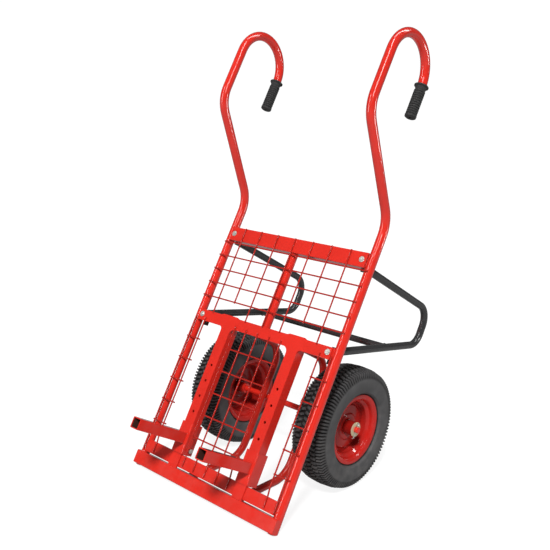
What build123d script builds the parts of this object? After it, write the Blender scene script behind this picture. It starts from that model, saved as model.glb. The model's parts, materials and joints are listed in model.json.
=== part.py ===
"""Brick barrow: leaning two-wheel frame with sliding forks, mesh back and crook handles.

Every piece is drawn in the frame's own coordinates and leaned at the end.
x runs across, s runs up along the rails and w stands out from the frame, front positive.
All sizes are millimetres and degrees.
"""
import math
import os

from build123d import *

# Stance
LEAN = 28.25
TYRE_RADIUS = 200.0
AXLE_BACK = 262.0

# Side rails and handles
RAIL_X = 300.0
RAIL_OD = 30.0
RAIL_WALL = 2.5
RAIL_BEND = 100.0
FOOT_CUT = 14.0
KINK_RISE = 136.5
KINK_RUN = 238.0
HANDLE_FORWARD = 283.0
HOOK_RISE = 188.0
HOOK_RADIUS = 102.0
GRIP_LENGTH = 110.0
GRIP_OD = 36.0
GRIP_COLLAR_OD = 46.0
GRIP_COLLAR = 5.0
GRIP_END_WALL = 4.0
GRIP_END_HOLE = 9.0
GRIP_RIBS = 9
GRIP_GROOVE = 1.5

# Crossbars, plate and toe
BAR_FRONT = 20.0
BAR_BACK = -10.0
BAR_WALL = 3.0
BAR_ROUND = 3.0
BAR_SHORT = 10.0
TOP_ALONG = 850.5
TOP_HEIGHT = 49.0
MID_ALONG = 549.0
MID_HEIGHT = 36.0
PLATE = 5.0
PLATE_SHORT = 13.0
PLATE_DROP = 3.0
PLATE_SHY = 1.5
PAD_RISE = 4.5
PAD_HALF = 30.0
PAD_TAPER = 14.0
CORNER_INNER = 20.0
CORNER_OUTER = 12.0
TOE_FOOT = 4.0
TOE_TOP = 48.0
TOE_FRONT = 24.0
TOE_BACK = -6.0
TOE_PAST = 15.0
TOE_ROUND = 4.0
BAND_GAP = 5.0
BAND_HEIGHT = 40.5
BAND_FRONT = 15.0
BAND_THICK = 5.0
STAY_OD = 28.0
STAY_WALL = 2.0
STAY_FORWARD = 1.0

# Fork uprights, sleeves and tines
FORK_X = 146.0
UPRIGHT = 40.0
UPRIGHT_WALL = 3.0
UPRIGHT_ROUND = 4.0
INDEX_FIRST = 181.1
INDEX_PITCH = 53.4
INDEX_COUNT = 5
INDEX_HOLE = 9.0
SLEEVE_GAP = 1.5
SLEEVE_LENGTH = 101.0
SLEEVE_FIT = 0.6
SLEEVE_WALL = 4.4
SLEEVE_ROUND = 3.0
TINE_WIDTH = 35.0
TINE_HEIGHT = 35.0
TINE_WALL = 3.0
TINE_ROUND = 3.0
TINE_RISE = 51.0
TINE_TIP = 240.0
SCREW_RISE = 17.0
SCREW_OD = 8.0
SCREW_HEAD = 13.0
SCREW_HEAD_LENGTH = 6.0
SCREW_SHANK = 16.0
SCREW_TIP_GAP = 0.4
LOCK_NUT_LENGTH = 7.0

# Wire mesh
WIRE = 5.0
WIRE_SINK = 0.3
CROSS_SINK = 0.4
UPPER_PITCH_X = 75.4
UPPER_DROP = 8.0
UPPER_FOOT = 49.8
UPPER_ROWS = 5
UPPER_STUB = 4.8
WIRE_PAST = 6.0
LOWER_CLEAR = 21.0
LOWER_DROP = 65.0
LOWER_RISE = 66.7
LOWER_ROWS = 5
LOWER_SHIFT = -6.0
LOWER_LAP = 12.0
LOWER_FOOT = 7.0
LOWER_STUB = 7.0
STRIP_INSET = 50.0
STRIP_SHORT = 6.0
JOG_RUN = 25.0
JOG_RISE = 3.5

# Axle brackets
BRACKET_X = 105.0
BRACKET_OD = 25.0
BRACKET_WALL = 2.5
BRACKET_TOP_BEND = 70.0
BRACKET_LOW_BEND = 90.0
SKID_CLEARANCE = 1.0

# Axle and wheels
AXLE_OD = 20.0
AXLE_TAIL = 15.0
AXLE_WELD = 0.5
AXLE_CHAMFER = 2.0
WHEEL_X = 247.0
RUN_FIT = 0.05
END_PLAY = 0.5
HUB_OD = 46.0
HUB_HALF = 33.0
BUSH_OD = 32.0
BUSH_LENGTH = 20.0
WASHER_OD = 48.0
WASHER_THICK = 3.0
COLLAR_OD = 34.0
COLLAR_LENGTH = 9.0
PIN_OD = 4.0
PIN_TAIL = 31.0
PIN_HEAD = 13.2
PIN_EYE = 5.0
RIM_SHEET = 3.0
RIM_HALF = 37.5
SEAT_RADIUS = 101.0
FLANGE_HEIGHT = 14.5
WELL_DEPTH = 12.0
DISC_BEND = 2.5
DISC_EDGE = 5.0
DISC_EDGE_RUN = 11.0
RING_RADIUS = 41.0
RING_RISE = 4.0
RING_WIDTH = 8.0
TYRE_HALF = 50.0
TREAD_DEPTH = 13.0
SIDEWALL = 7.5
LUG_COUNT = 108
LUG_DEPTH = 4.4
LUG_WIDTH = 6.4
LUG_GAP = 2.0
LUG_SINK = 2.0
VALVE_OD = 8.0
VALVE_LENGTH = 24.0
VALVE_SEAT = 8.0
VALVE_OUT = 5.0

# Rest legs
LEG_INSET = 21.0
LEG_OD = 25.0
LEG_WALL = 2.0
LEG_BEND = 57.0
LEG_TOP_DROP = 18.7
LEG_TOP_RISE = 10.5
LEG_LOW_RISE = 10.6
LEG_END = 126.5
LEG_REACH = 451.0
TAB_THICK = 5.0
TAB_HALF = 11.0
TAB_LAP = 18.0
TAB_FOOT = 32.0
LEG_BAR_OD = 22.0
LEG_BAR_BACK = 272.0
BOLT_INSET = 27.0
BOLT_OD = 8.0
BOLT_HOLE = 8.4
BOLT_HEAD = 13.0
BOLT_HEAD_LENGTH = 5.5
BOLT_WASHER_OD = 19.0
BOLT_WASHER = 1.6
BOLT_NUT_LENGTH = 6.5
BOLT_TAIL = 4.0
NUT_POCKET = 2.0

# Values that follow from the sizes above
SIN = math.sin(math.radians(LEAN))
COS = math.cos(math.radians(LEAN))
RAIL_R = RAIL_OD / 2
RAIL_FOOT = RAIL_R * SIN / COS
RAIL_END = RAIL_FOOT - RAIL_OD
KINK_LOW = TOP_ALONG + KINK_RISE
KINK_HIGH = KINK_LOW + KINK_RUN
HOOK_ALONG = KINK_HIGH + HOOK_RISE
HOOK_BACK = HANDLE_FORWARD - 2 * HOOK_RADIUS
GRIP_LOW = HOOK_ALONG - GRIP_LENGTH
BAR_REACH = RAIL_X - BAR_SHORT
TOE_REACH = RAIL_X + TOE_PAST
TOP_LOW = TOP_ALONG - TOP_HEIGHT / 2
TOP_HIGH = TOP_ALONG + TOP_HEIGHT / 2
MID_LOW = MID_ALONG - MID_HEIGHT / 2
MID_HIGH = MID_ALONG + MID_HEIGHT / 2
PLATE_BACK = BAR_FRONT - PLATE
PLATE_HALF = RAIL_X - PLATE_SHORT
PLATE_LOW = MID_LOW - PLATE_DROP
PLATE_HIGH = MID_HIGH - PLATE_SHY
BAND_LOW = TOE_TOP + BAND_GAP
BAND_TOP = BAND_LOW + BAND_HEIGHT
AXLE_ALONG = (TYRE_RADIUS + AXLE_BACK * SIN) / COS
AXLE_HALF = WHEEL_X + HUB_HALF + AXLE_TAIL
FLANGE_RADIUS = SEAT_RADIUS + FLANGE_HEIGHT
WELL_RADIUS = SEAT_RADIUS - WELL_DEPTH
BRACKET_BACK = AXLE_BACK - AXLE_OD / 2 - BRACKET_OD / 2 + AXLE_WELD
SLEEVE_IN = UPRIGHT + 2 * SLEEVE_FIT
SLEEVE_OUT = SLEEVE_IN + 2 * SLEEVE_WALL
UPRIGHT_MID = BAR_FRONT - UPRIGHT / 2
SLEEVE_FRONT = UPRIGHT_MID + SLEEVE_OUT / 2
SLEEVE_LOW = BAND_TOP + SLEEVE_GAP
TINE_ALONG = SLEEVE_LOW + TINE_RISE
SCREW_ALONG = SLEEVE_LOW + SCREW_RISE
WIRE_R = WIRE / 2
ROW_W = RAIL_R + WIRE_R - WIRE_SINK
RUN_W = ROW_W + WIRE - CROSS_SINK
FOOT_W = BAND_FRONT + WIRE_R - WIRE_SINK
UPPER_HALF = RAIL_X + WIRE_PAST
UPPER_FIRST = TOP_LOW - UPPER_DROP
UPPER_LAST = MID_HIGH + UPPER_FOOT
UPPER_PITCH_S = (UPPER_FIRST - UPPER_LAST) / (UPPER_ROWS - 1)
UPPER_SHORT = UPPER_LAST - UPPER_STUB
LOWER_PITCH_X = (FORK_X - SLEEVE_OUT / 2 - LOWER_CLEAR) / 2
LOWER_FIRST = PLATE_LOW - LOWER_DROP
LOWER_PITCH_S = (LOWER_FIRST - BAND_TOP - LOWER_RISE) / (LOWER_ROWS - 1)
LOWER_TOP = PLATE_LOW + LOWER_LAP
LOWER_END = BAND_LOW + LOWER_FOOT
STRIP_WIRE = RAIL_X - STRIP_INSET
STRIP_EDGE = RAIL_X - STRIP_SHORT
JOG_LOW = BAND_TOP + JOG_RISE
JOG_HIGH = JOG_LOW + JOG_RUN
BOLT_X = RAIL_X - BOLT_INSET
LEG_X = RAIL_X - LEG_INSET
LEG_BACK = BAR_BACK - TAB_THICK
BOLT_END = LEG_BACK - BOLT_NUT_LENGTH - BOLT_TAIL
LEG_TOP = TOP_ALONG - LEG_TOP_DROP
LEG_TOP_BACK = LEG_TOP + LEG_TOP_RISE
LEG_LOW = MID_ALONG + LEG_LOW_RISE
LEG_LOW_BACK = LEG_TOP_BACK - LEG_END
LEG_SLOPE = (LEG_LOW_BACK - LEG_LOW) / (LEG_REACH + LEG_BACK)
LEG_BAR_ALONG = LEG_LOW + (LEG_BAR_BACK + LEG_BACK) * LEG_SLOPE


def at(x, s, w):
    """Point of the frame at x across, s along the rails and w in front of them."""
    return Vector(x, -w, s)


def block(x0, x1, w0, w1, s0, s1):
    """Box between two values on each of the frame's directions."""
    middle = Pos((x0 + x1) / 2, -(w0 + w1) / 2, (s0 + s1) / 2)
    return middle * Box(x1 - x0, w1 - w0, s1 - s0)


def rod_across(x0, x1, s, w, radius):
    """Round bar along x."""
    return Pos((x0 + x1) / 2, -w, s) * Rot(0, 90, 0) * Cylinder(radius, abs(x1 - x0))


def rod_along(x, s0, s1, w, radius):
    """Round bar along the rails."""
    return Pos(x, -w, (s0 + s1) / 2) * Cylinder(radius, abs(s1 - s0))


def rod_out(x, s, w0, w1, radius):
    """Round bar square to the frame."""
    return Pos(x, -(w0 + w1) / 2, s) * Rot(90, 0, 0) * Cylinder(radius, abs(w1 - w0))


def rod_between(start, end, radius):
    """Round bar with ball ends between two points."""
    run = end - start
    bar = Plane(origin=start + run * 0.5, z_dir=run) * Cylinder(radius, run.length)
    return bar + Pos(start) * Sphere(radius) + Pos(end) * Sphere(radius)


def hex_across(x0, x1, s, w, flats):
    """Hexagon bar along x."""
    outline = RegularPolygon(flats / 2, 6, major_radius=False)
    face = Plane(origin=at(min(x0, x1), s, w), z_dir=(1, 0, 0)) * outline
    return extrude(face, amount=abs(x1 - x0))


def hex_out(x, s, w0, w1, flats):
    """Hexagon bar square to the frame."""
    outline = RegularPolygon(flats / 2, 6, major_radius=False)
    face = Plane(origin=at(x, s, min(w0, w1)), z_dir=(0, -1, 0)) * outline
    return extrude(face, amount=abs(w1 - w0))


def swept(path, start, heading, radius):
    """Solid bar along a bent path."""
    return sweep(Plane(origin=start, z_dir=heading) * Circle(radius), path=path)


def swept_tube(path, start, heading, od, wall):
    """Hollow tube along a bent path."""
    return swept(path, start, heading, od / 2) - swept(path, start, heading, od / 2 - wall)


def rounded(shape, axis, radius):
    """Block with the edges along one axis rounded."""
    return fillet(shape.edges().filter_by(axis), radius)


def turned(points):
    """Ring with the given section (x from the wheel's middle, radius), turned about the axle."""
    face = Plane.XZ * make_face(Polyline(*points, close=True))
    return revolve(face, Axis.X, 360)


def mirrored(points):
    """Section points with the same points on the other side, in reverse."""
    return points + [(-x, r) for x, r in reversed(points)]


def rail_core(side):
    """Straight run of a side rail, used to cope the bars that meet it."""
    return rod_along(side * RAIL_X, RAIL_END, KINK_LOW, 0.0, RAIL_R)


def side_rail(side):
    """Side rail with its forward offset and the crook at the top."""
    x = side * RAIL_X
    low = FilletPolyline(
        at(x, RAIL_END, 0.0),
        at(x, KINK_LOW, 0.0),
        at(x, KINK_HIGH, HANDLE_FORWARD),
        at(x, HOOK_ALONG, HANDLE_FORWARD),
        radius=RAIL_BEND,
    )
    crown = at(x, HOOK_ALONG + HOOK_RADIUS, HANDLE_FORWARD - HOOK_RADIUS)
    crook = ThreePointArc(at(x, HOOK_ALONG, HANDLE_FORWARD), crown, at(x, HOOK_ALONG, HOOK_BACK))
    tail = Line(at(x, HOOK_ALONG, HOOK_BACK), at(x, GRIP_LOW + GRIP_END_WALL, HOOK_BACK))
    path = Wire(low.edges() + crook.edges() + tail.edges(), sequenced=True)
    tube = swept_tube(path, at(x, RAIL_END, 0.0), (0, 0, 1), RAIL_OD, RAIL_WALL)
    heel = Pos(at(x, RAIL_FOOT, -RAIL_R)) * Rot(FOOT_CUT, 0, 0)
    return tube - heel * Pos(0, 0, -RAIL_OD) * Box(2 * RAIL_OD, 4 * RAIL_OD, 2 * RAIL_OD)


def hand_grip(side):
    """Moulded grip with a thumb collar, ring grooves and a vent in its closed end."""
    x = side * RAIL_X
    body = rod_along(x, GRIP_LOW, HOOK_ALONG, HOOK_BACK, GRIP_OD / 2)
    body += rod_along(x, HOOK_ALONG - GRIP_COLLAR, HOOK_ALONG, HOOK_BACK, GRIP_COLLAR_OD / 2)
    body -= rod_along(x, GRIP_LOW + GRIP_END_WALL, HOOK_ALONG + 1.0, HOOK_BACK, RAIL_R)
    body -= rod_along(x, GRIP_LOW - 1.0, HOOK_ALONG, HOOK_BACK, GRIP_END_HOLE / 2)
    pitch = (GRIP_LENGTH - GRIP_COLLAR) / (GRIP_RIBS + 1)
    for rib in range(1, GRIP_RIBS + 1):
        groove = Torus(GRIP_OD / 2 + GRIP_GROOVE / 4, GRIP_GROOVE)
        body -= Pos(at(x, GRIP_LOW + rib * pitch, HOOK_BACK)) * groove
    return body


def crossbar(low, high, front):
    """Box section between the rails, coped to both and drilled for the leg bolts."""
    outer = rounded(block(-BAR_REACH, BAR_REACH, BAR_BACK, front, low, high), Axis.X, BAR_ROUND)
    inner = block(
        -RAIL_X, RAIL_X, BAR_BACK + BAR_WALL, front - BAR_WALL, low + BAR_WALL, high - BAR_WALL
    )
    bar = outer - inner
    for side in (-1, 1):
        bar -= rail_core(side)
        bar -= rod_out(side * BOLT_X, (low + high) / 2, BAR_BACK - 1.0, front + 1.0, BOLT_HOLE / 2)
    return bar


def fork_carrier():
    """Cut front plate: the middle bar with two long legs that carry the index holes."""
    height = PLATE_HIGH - PLATE_LOW
    outline = Pos(0, PLATE_LOW + height / 2) * Rectangle(2 * PLATE_HALF, height)
    for side in (-1, 1):
        leg = PLATE_LOW - TOE_TOP + 1.0
        outline += Pos(side * FORK_X, TOE_TOP + leg / 2) * Rectangle(UPRIGHT, leg)
        pad = [
            (side * FORK_X - PAD_HALF - PAD_TAPER, PLATE_HIGH - 1.0),
            (side * FORK_X - PAD_HALF, PLATE_HIGH + PAD_RISE),
            (side * FORK_X + PAD_HALF, PLATE_HIGH + PAD_RISE),
            (side * FORK_X + PAD_HALF + PAD_TAPER, PLATE_HIGH - 1.0),
        ]
        outline += make_face(Polyline(*pad, close=True))
    for edge, radius in ((-1, CORNER_INNER), (1, CORNER_OUTER)):
        reach = FORK_X + edge * UPRIGHT / 2
        low = outline.vertices().filter_by_position(Axis.Y, PLATE_LOW - 0.1, PLATE_LOW + 0.1)
        outline = fillet([corner for corner in low if abs(abs(corner.X) - reach) < 0.1], radius)
    plate = extrude(Plane.XZ.offset(PLATE_BACK) * outline, amount=PLATE)
    for side in (-1, 1):
        plate -= rod_out(side * BOLT_X, MID_ALONG, PLATE_BACK - 1.0, BAR_FRONT + 1.0, BOLT_HOLE / 2)
        for step in range(INDEX_COUNT):
            along = INDEX_FIRST + step * INDEX_PITCH
            plate -= rod_out(side * FORK_X, along, PLATE_BACK - 1.0, BAR_FRONT + 1.0, INDEX_HOLE / 2)
    return plate


def fork_upright(side):
    """Folded channel behind one leg of the plate; together they make a square guide."""
    x0 = side * FORK_X - UPRIGHT / 2
    x1 = side * FORK_X + UPRIGHT / 2
    back = BAR_FRONT - UPRIGHT
    wall = UPRIGHT_WALL
    shell = block(x0, x1, back, PLATE_BACK, BAND_TOP, MID_LOW)
    folds = shell.edges().filter_by(Axis.Z).sort_by(Axis.Y)[-2:]
    shell = fillet(folds, UPRIGHT_ROUND)
    return shell - block(x0 + wall, x1 - wall, back + wall, PLATE_BACK, BAND_TOP, MID_LOW)


def bottom_band():
    """Flat bar above the toe, coped to the rails."""
    band = block(-BAR_REACH, BAR_REACH, BAND_FRONT - BAND_THICK, BAND_FRONT, BAND_LOW, BAND_TOP)
    for side in (-1, 1):
        band -= rail_core(side)
    return band


def toe_block():
    """Outer shape of the toe bar, whose ends lie in front of the rails only."""
    bar = block(-TOE_REACH, TOE_REACH, TOE_BACK, TOE_FRONT, TOE_FOOT, TOE_TOP)
    bar = rounded(bar, Axis.X, TOE_ROUND)
    for side in (-1, 1):
        x0, x1 = sorted((side * RAIL_X, side * (TOE_REACH + 1.0)))
        bar -= block(x0, x1, TOE_BACK, 0.0, TOE_FOOT, TOE_TOP)
    return bar


def toe_bar():
    """Rounded box section along the foot of the frame, lapped over the fronts of the rails."""
    inner = block(
        -BAR_REACH,
        BAR_REACH,
        TOE_BACK + BAR_WALL,
        TOE_FRONT - BAR_WALL,
        TOE_FOOT + BAR_WALL,
        TOE_TOP - BAR_WALL,
    )
    bar = toe_block() - inner
    for side in (-1, 1):
        bar -= rail_core(side)
    return bar


def centre_stay():
    """Tube between the two crossbars."""
    outer = rod_along(0.0, MID_HIGH, TOP_LOW, STAY_FORWARD, STAY_OD / 2)
    return outer - rod_along(0.0, MID_HIGH, TOP_LOW, STAY_FORWARD, STAY_OD / 2 - STAY_WALL)


def upper_mesh():
    """Welded panel over the top of the frame, rows on the rails and runs over the crossbar."""
    panel = None
    rows = [UPPER_FIRST - k * UPPER_PITCH_S for k in range(UPPER_ROWS)]
    for row in rows:
        wire = rod_across(-UPPER_HALF, UPPER_HALF, row, ROW_W, WIRE_R)
        panel = wire if panel is None else panel + wire
    for k in range(-3, 4):
        low = UPPER_SHORT if abs(k) == 2 else PLATE_HIGH - 3.0
        panel += rod_along(k * UPPER_PITCH_X, low, TOP_HIGH, RUN_W, WIRE_R)
    panel -= block(-BAR_REACH, BAR_REACH, BAR_BACK, BAR_FRONT, TOP_LOW, TOP_HIGH)
    panel -= block(-PLATE_HALF, PLATE_HALF, PLATE_BACK, BAR_FRONT, PLATE_LOW, PLATE_HIGH)
    panel -= rod_along(0.0, MID_HIGH, TOP_LOW, STAY_FORWARD, STAY_OD / 2)
    for side in (-1, 1):
        panel -= rail_core(side)
    return panel


def jogged_wire(x):
    """Upright wire from the plate down to the band, stepped back onto the band at its foot."""
    wire = rod_along(x, JOG_HIGH, LOWER_TOP, RUN_W, WIRE_R)
    wire += rod_between(at(x, JOG_HIGH, RUN_W), at(x, JOG_LOW, FOOT_W), WIRE_R)
    return wire + rod_along(x, LOWER_END, JOG_LOW, FOOT_W, WIRE_R)


def lower_rows(x0, x1):
    """Cross wires of a lower panel."""
    return [
        rod_across(x0, x1, LOWER_FIRST - k * LOWER_PITCH_S, ROW_W, WIRE_R) for k in range(LOWER_ROWS)
    ]


def trimmed(panel):
    """Lower panel cut back to the faces it is welded to."""
    panel -= fork_carrier()
    panel -= block(-BAR_REACH, BAR_REACH, BAND_FRONT - BAND_THICK, BAND_FRONT, BAND_LOW, BAND_TOP)
    for side in (-1, 1):
        panel -= rail_core(side)
    return panel


def lower_mesh_centre():
    """Panel between the fork uprights."""
    runs = [LOWER_SHIFT + k * LOWER_PITCH_X for k in range(-2, 3)]
    panel = None
    for x in runs:
        wire = jogged_wire(x)
        panel = wire if panel is None else panel + wire
    for row in lower_rows(runs[0] - LOWER_STUB, runs[-1] + LOWER_STUB):
        panel += row
    return trimmed(panel)


def lower_mesh_side(side):
    """Narrow panel beside one rail."""
    panel = jogged_wire(side * STRIP_WIRE)
    panel += rod_along(side * STRIP_EDGE, LOWER_END, LOWER_TOP, RUN_W, WIRE_R)
    for row in lower_rows(side * (STRIP_WIRE - LOWER_STUB), side * UPPER_HALF):
        panel += row
    return trimmed(panel)


def axle_bracket(side):
    """Bent tube from the middle crossbar round to the axle and along the floor to the toe."""
    x = side * BRACKET_X
    skid = BRACKET_OD / 2 + SKID_CLEARANCE
    heel = at(x, (skid + BRACKET_BACK * SIN) / COS, -BRACKET_BACK)
    front = TOE_BACK + BAR_WALL
    tip = at(x, (skid - front * SIN) / COS, front)
    start = at(x, MID_ALONG, BAR_BACK)
    top = FilletPolyline(
        start,
        at(x, MID_ALONG, -BRACKET_BACK),
        at(x, AXLE_ALONG, -BRACKET_BACK),
        radius=BRACKET_TOP_BEND,
    )
    low = FilletPolyline(at(x, AXLE_ALONG, -BRACKET_BACK), heel, tip, radius=BRACKET_LOW_BEND)
    path = Wire(top.edges() + low.edges(), sequenced=True)
    tube = swept_tube(path, start, (0, 1, 0), BRACKET_OD, BRACKET_WALL)
    return tube - toe_block() - rod_across(-AXLE_HALF, AXLE_HALF, AXLE_ALONG, -AXLE_BACK, AXLE_OD / 2)


def axle():
    """Axle bar with its pin holes."""
    bar = rod_across(-AXLE_HALF, AXLE_HALF, AXLE_ALONG, -AXLE_BACK, AXLE_OD / 2)
    bar = chamfer(bar.edges().filter_by(GeomType.CIRCLE), AXLE_CHAMFER)
    for side in (-1, 1):
        bar -= rod_along(
            side * pin_x(), AXLE_ALONG - AXLE_OD, AXLE_ALONG + AXLE_OD, -AXLE_BACK, PIN_OD / 2
        )
    return bar


def hub_end():
    """Distance of the outer end of a hub from the middle."""
    return WHEEL_X + HUB_HALF


def pin_x():
    """Distance of a split pin from the middle."""
    return hub_end() + END_PLAY + WASHER_THICK + PIN_OD / 2


def axle_washer(side):
    """Plain washer outside the hub."""
    x0 = side * (hub_end() + END_PLAY)
    x1 = side * (hub_end() + END_PLAY + WASHER_THICK)
    ring = rod_across(x0, x1, AXLE_ALONG, -AXLE_BACK, WASHER_OD / 2)
    return ring - rod_across(x0, x1, AXLE_ALONG, -AXLE_BACK, AXLE_OD / 2)


def axle_collar(side):
    """Collar on the axle inside the hub."""
    x0 = side * (WHEEL_X - HUB_HALF - END_PLAY - COLLAR_LENGTH)
    x1 = side * (WHEEL_X - HUB_HALF - END_PLAY)
    ring = rod_across(x0, x1, AXLE_ALONG, -AXLE_BACK, COLLAR_OD / 2)
    return ring - rod_across(x0, x1, AXLE_ALONG, -AXLE_BACK, AXLE_OD / 2)


def split_pin(side):
    """Split pin through the end of the axle."""
    x = side * pin_x()
    low = AXLE_ALONG - PIN_TAIL
    high = AXLE_ALONG + PIN_HEAD
    pin = rod_along(x, low, high, -AXLE_BACK, PIN_OD / 2)
    return pin + Pos(at(x, high + PIN_EYE - 1.0, -AXLE_BACK)) * Rot(0, 90, 0) * Torus(PIN_EYE, PIN_OD / 2)


def on_axle(side, shape):
    """Wheel piece moved from the origin to its place on the axle."""
    facing = shape if side > 0 else mirror(shape, about=Plane.YZ)
    return Pos(at(side * WHEEL_X, AXLE_ALONG, -AXLE_BACK)) * facing


def rim_faces():
    """Tyre side and air side of half a rim, flange first."""
    top = RIM_HALF - RIM_SHEET
    tyre_side = [
        (top, FLANGE_RADIUS),
        (top - 1.0, SEAT_RADIUS + 6.5),
        (top - 3.0, SEAT_RADIUS + 1.5),
        (top - 6.5, SEAT_RADIUS - 0.6),
        (top - 15.5, SEAT_RADIUS - 2.0),
        (top - 22.5, WELL_RADIUS),
    ]
    air_side = [
        (RIM_HALF, FLANGE_RADIUS),
        (RIM_HALF - 1.2, SEAT_RADIUS + 6.0),
        (RIM_HALF - 3.8, SEAT_RADIUS + 0.2),
        (RIM_HALF - 8.4, SEAT_RADIUS + 0.4 - RIM_SHEET),
        (RIM_HALF - 17.0, SEAT_RADIUS - RIM_SHEET - 2.0),
        (RIM_HALF - 24.0, WELL_RADIUS - RIM_SHEET),
    ]
    return tyre_side, air_side


def valve_rod(radius):
    """Bar along the valve's line, used for the valve and its hole."""
    middle = WELL_RADIUS - RIM_SHEET - VALVE_LENGTH / 2 + VALVE_SEAT
    return Rot(90, 0, 0) * Pos(VALVE_OUT, 0, middle) * Cylinder(radius, VALVE_LENGTH)


def rim():
    """Rolled rim with a drop centre."""
    tyre_side, air_side = rim_faces()
    sheet = turned(mirrored(tyre_side) + list(reversed(mirrored(air_side))))
    return sheet - valve_rod(VALVE_OD / 2)


def wheel_disc():
    """Pressed disc from the rim's drop centre down to the hub, with a raised ring round the hub."""
    inner = WELL_RADIUS - RIM_SHEET
    waist = inner - DISC_EDGE_RUN
    front = [
        (-DISC_EDGE, inner),
        (-DISC_EDGE, waist),
        (0.0, waist - DISC_EDGE),
        (0.0, RING_RADIUS + RING_RISE),
        (RING_RISE, RING_RADIUS),
        (RING_RISE, RING_RADIUS - RING_WIDTH),
        (RING_RISE / 4, HUB_OD / 2),
    ]
    back = [(x - RIM_SHEET, r) for x, r in front]
    near = FilletPolyline(*front, radius=DISC_BEND)
    far = FilletPolyline(*back, radius=DISC_BEND)
    ends = [Line(front[0], back[0]), Line(front[-1], back[-1])]
    return revolve(Plane.XZ * make_face(near.edges() + far.edges() + ends), Axis.X, 360)


def hub():
    """Hub tube."""
    tube = rod_across(-HUB_HALF, HUB_HALF, 0.0, 0.0, HUB_OD / 2)
    return tube - rod_across(-HUB_HALF, HUB_HALF, 0.0, 0.0, BUSH_OD / 2)


def hub_bush(end):
    """Bearing bush in one end of the hub."""
    x0 = end * (HUB_HALF - BUSH_LENGTH)
    x1 = end * HUB_HALF
    bush = rod_across(x0, x1, 0.0, 0.0, BUSH_OD / 2)
    return bush - rod_across(x0, x1, 0.0, 0.0, AXLE_OD / 2 + RUN_FIT)


def tyre_faces():
    """Bead, sidewall, crown and lining of half a tyre section, each from the bead to the middle."""
    tyre_side, _ = rim_faces()
    bead = list(reversed(tyre_side[:4]))
    seat, step = tyre_side[3], tyre_side[4]
    lap = 6.0
    heel = seat[0] - lap
    heel_r = seat[1] - lap * (seat[1] - step[1]) / (seat[0] - step[0])
    high = TYRE_RADIUS - FLANGE_RADIUS
    wall = [
        (TYRE_HALF - 9.0, FLANGE_RADIUS + 0.06 * high),
        (TYRE_HALF - 2.0, FLANGE_RADIUS + 0.22 * high),
        (TYRE_HALF, FLANGE_RADIUS + 0.41 * high),
        (TYRE_HALF - 1.0, FLANGE_RADIUS + 0.54 * high),
        (TYRE_HALF - 3.4, FLANGE_RADIUS + 0.63 * high),
    ]
    crown = [
        wall[-1],
        (TYRE_HALF - 12.5, FLANGE_RADIUS + 0.85 * high),
        (TYRE_HALF - 27.0, FLANGE_RADIUS + 0.92 * high),
        (0.0, TYRE_RADIUS - LUG_DEPTH),
    ]
    lining = [
        (heel, heel_r),
        (heel + 1.0, heel_r + 10.5),
        (TYRE_HALF - SIDEWALL - 9.5, FLANGE_RADIUS + 0.13 * high),
        (TYRE_HALF - SIDEWALL - 1.5, FLANGE_RADIUS + 0.32 * high),
        (TYRE_HALF - SIDEWALL, FLANGE_RADIUS + 0.50 * high),
        (TYRE_HALF - SIDEWALL - 4.5, FLANGE_RADIUS + 0.68 * high),
        (TYRE_HALF - SIDEWALL - 13.0, FLANGE_RADIUS + 0.80 * high),
        (0.0, TYRE_RADIUS - TREAD_DEPTH),
    ]
    return bead, wall, crown, lining


def across(points):
    """Half a section that ends on the middle line, with its mirror image."""
    return points + [(-x, r) for x, r in reversed(points[:-1])]


def opposite(points):
    """Section points on the other side of the wheel."""
    return [(-x, r) for x, r in points]


def tread_lug():
    """One lug at the top of the tyre, from the middle of the tread over the shoulder."""
    crown = tyre_faces()[2]
    foot, shoulder, inner = crown[:3]
    proud = [
        (foot[0] + 0.27 * LUG_DEPTH, foot[1]),
        (shoulder[0] + 0.8 * LUG_DEPTH, shoulder[1] + 0.7 * LUG_DEPTH),
        (inner[0] + 0.36 * LUG_DEPTH, inner[1] + 0.96 * LUG_DEPTH),
        (LUG_GAP, TYRE_RADIUS - 0.1),
    ]
    sunk = [
        (LUG_GAP, TYRE_RADIUS - LUG_DEPTH - LUG_SINK),
        (inner[0], inner[1] - LUG_SINK),
        (shoulder[0] - LUG_SINK, shoulder[1] - LUG_SINK),
        (foot[0] - LUG_SINK, foot[1]),
    ]
    section = Plane.XZ * make_face(Polyline(*proud, *sunk, close=True))
    return extrude(section, amount=LUG_WIDTH / 2, both=True)


def tyre():
    """Hollow tyre seated on the rim, with two staggered rings of lugs."""
    bead, wall, crown, lining = tyre_faces()
    edges = [
        *Spline(*wall).edges(),
        *Spline(*opposite(wall)).edges(),
        *Polyline(*across(crown)).edges(),
        *Polyline(lining[0], *bead, wall[0]).edges(),
        *Polyline(*opposite([lining[0], *bead, wall[0]])).edges(),
        *Polyline(*across(lining)).edges(),
    ]
    carcass = revolve(Plane.XZ * make_face(edges), Axis.X, 360)
    near = tread_lug()
    far = mirror(near, about=Plane.YZ)
    pitch = 360.0 / LUG_COUNT
    lugs = []
    for step in range(LUG_COUNT):
        lugs.append(Rot(step * pitch, 0, 0) * near)
        lugs.append(Rot((step + 0.5) * pitch, 0, 0) * far)
    return carcass + lugs


def inner_tube():
    """Air tube lying inside the tyre."""
    lining = tyre_faces()[3]
    gap = 1.0
    wall = 2.5
    skin = [(x - gap, r - gap * 0.6) for x, r in lining[1:-1]]
    crown = lining[-1][1] - gap
    floor = SEAT_RADIUS + gap
    face = make_face(
        Polyline(
            (-12.0, floor),
            (12.0, floor),
            *skin,
            (0.0, crown),
            *opposite(reversed(skin)),
            close=True,
        )
    )
    ring = Plane.XZ * (face - offset(face, amount=-wall))
    return revolve(ring, Axis.X, 360)


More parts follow.
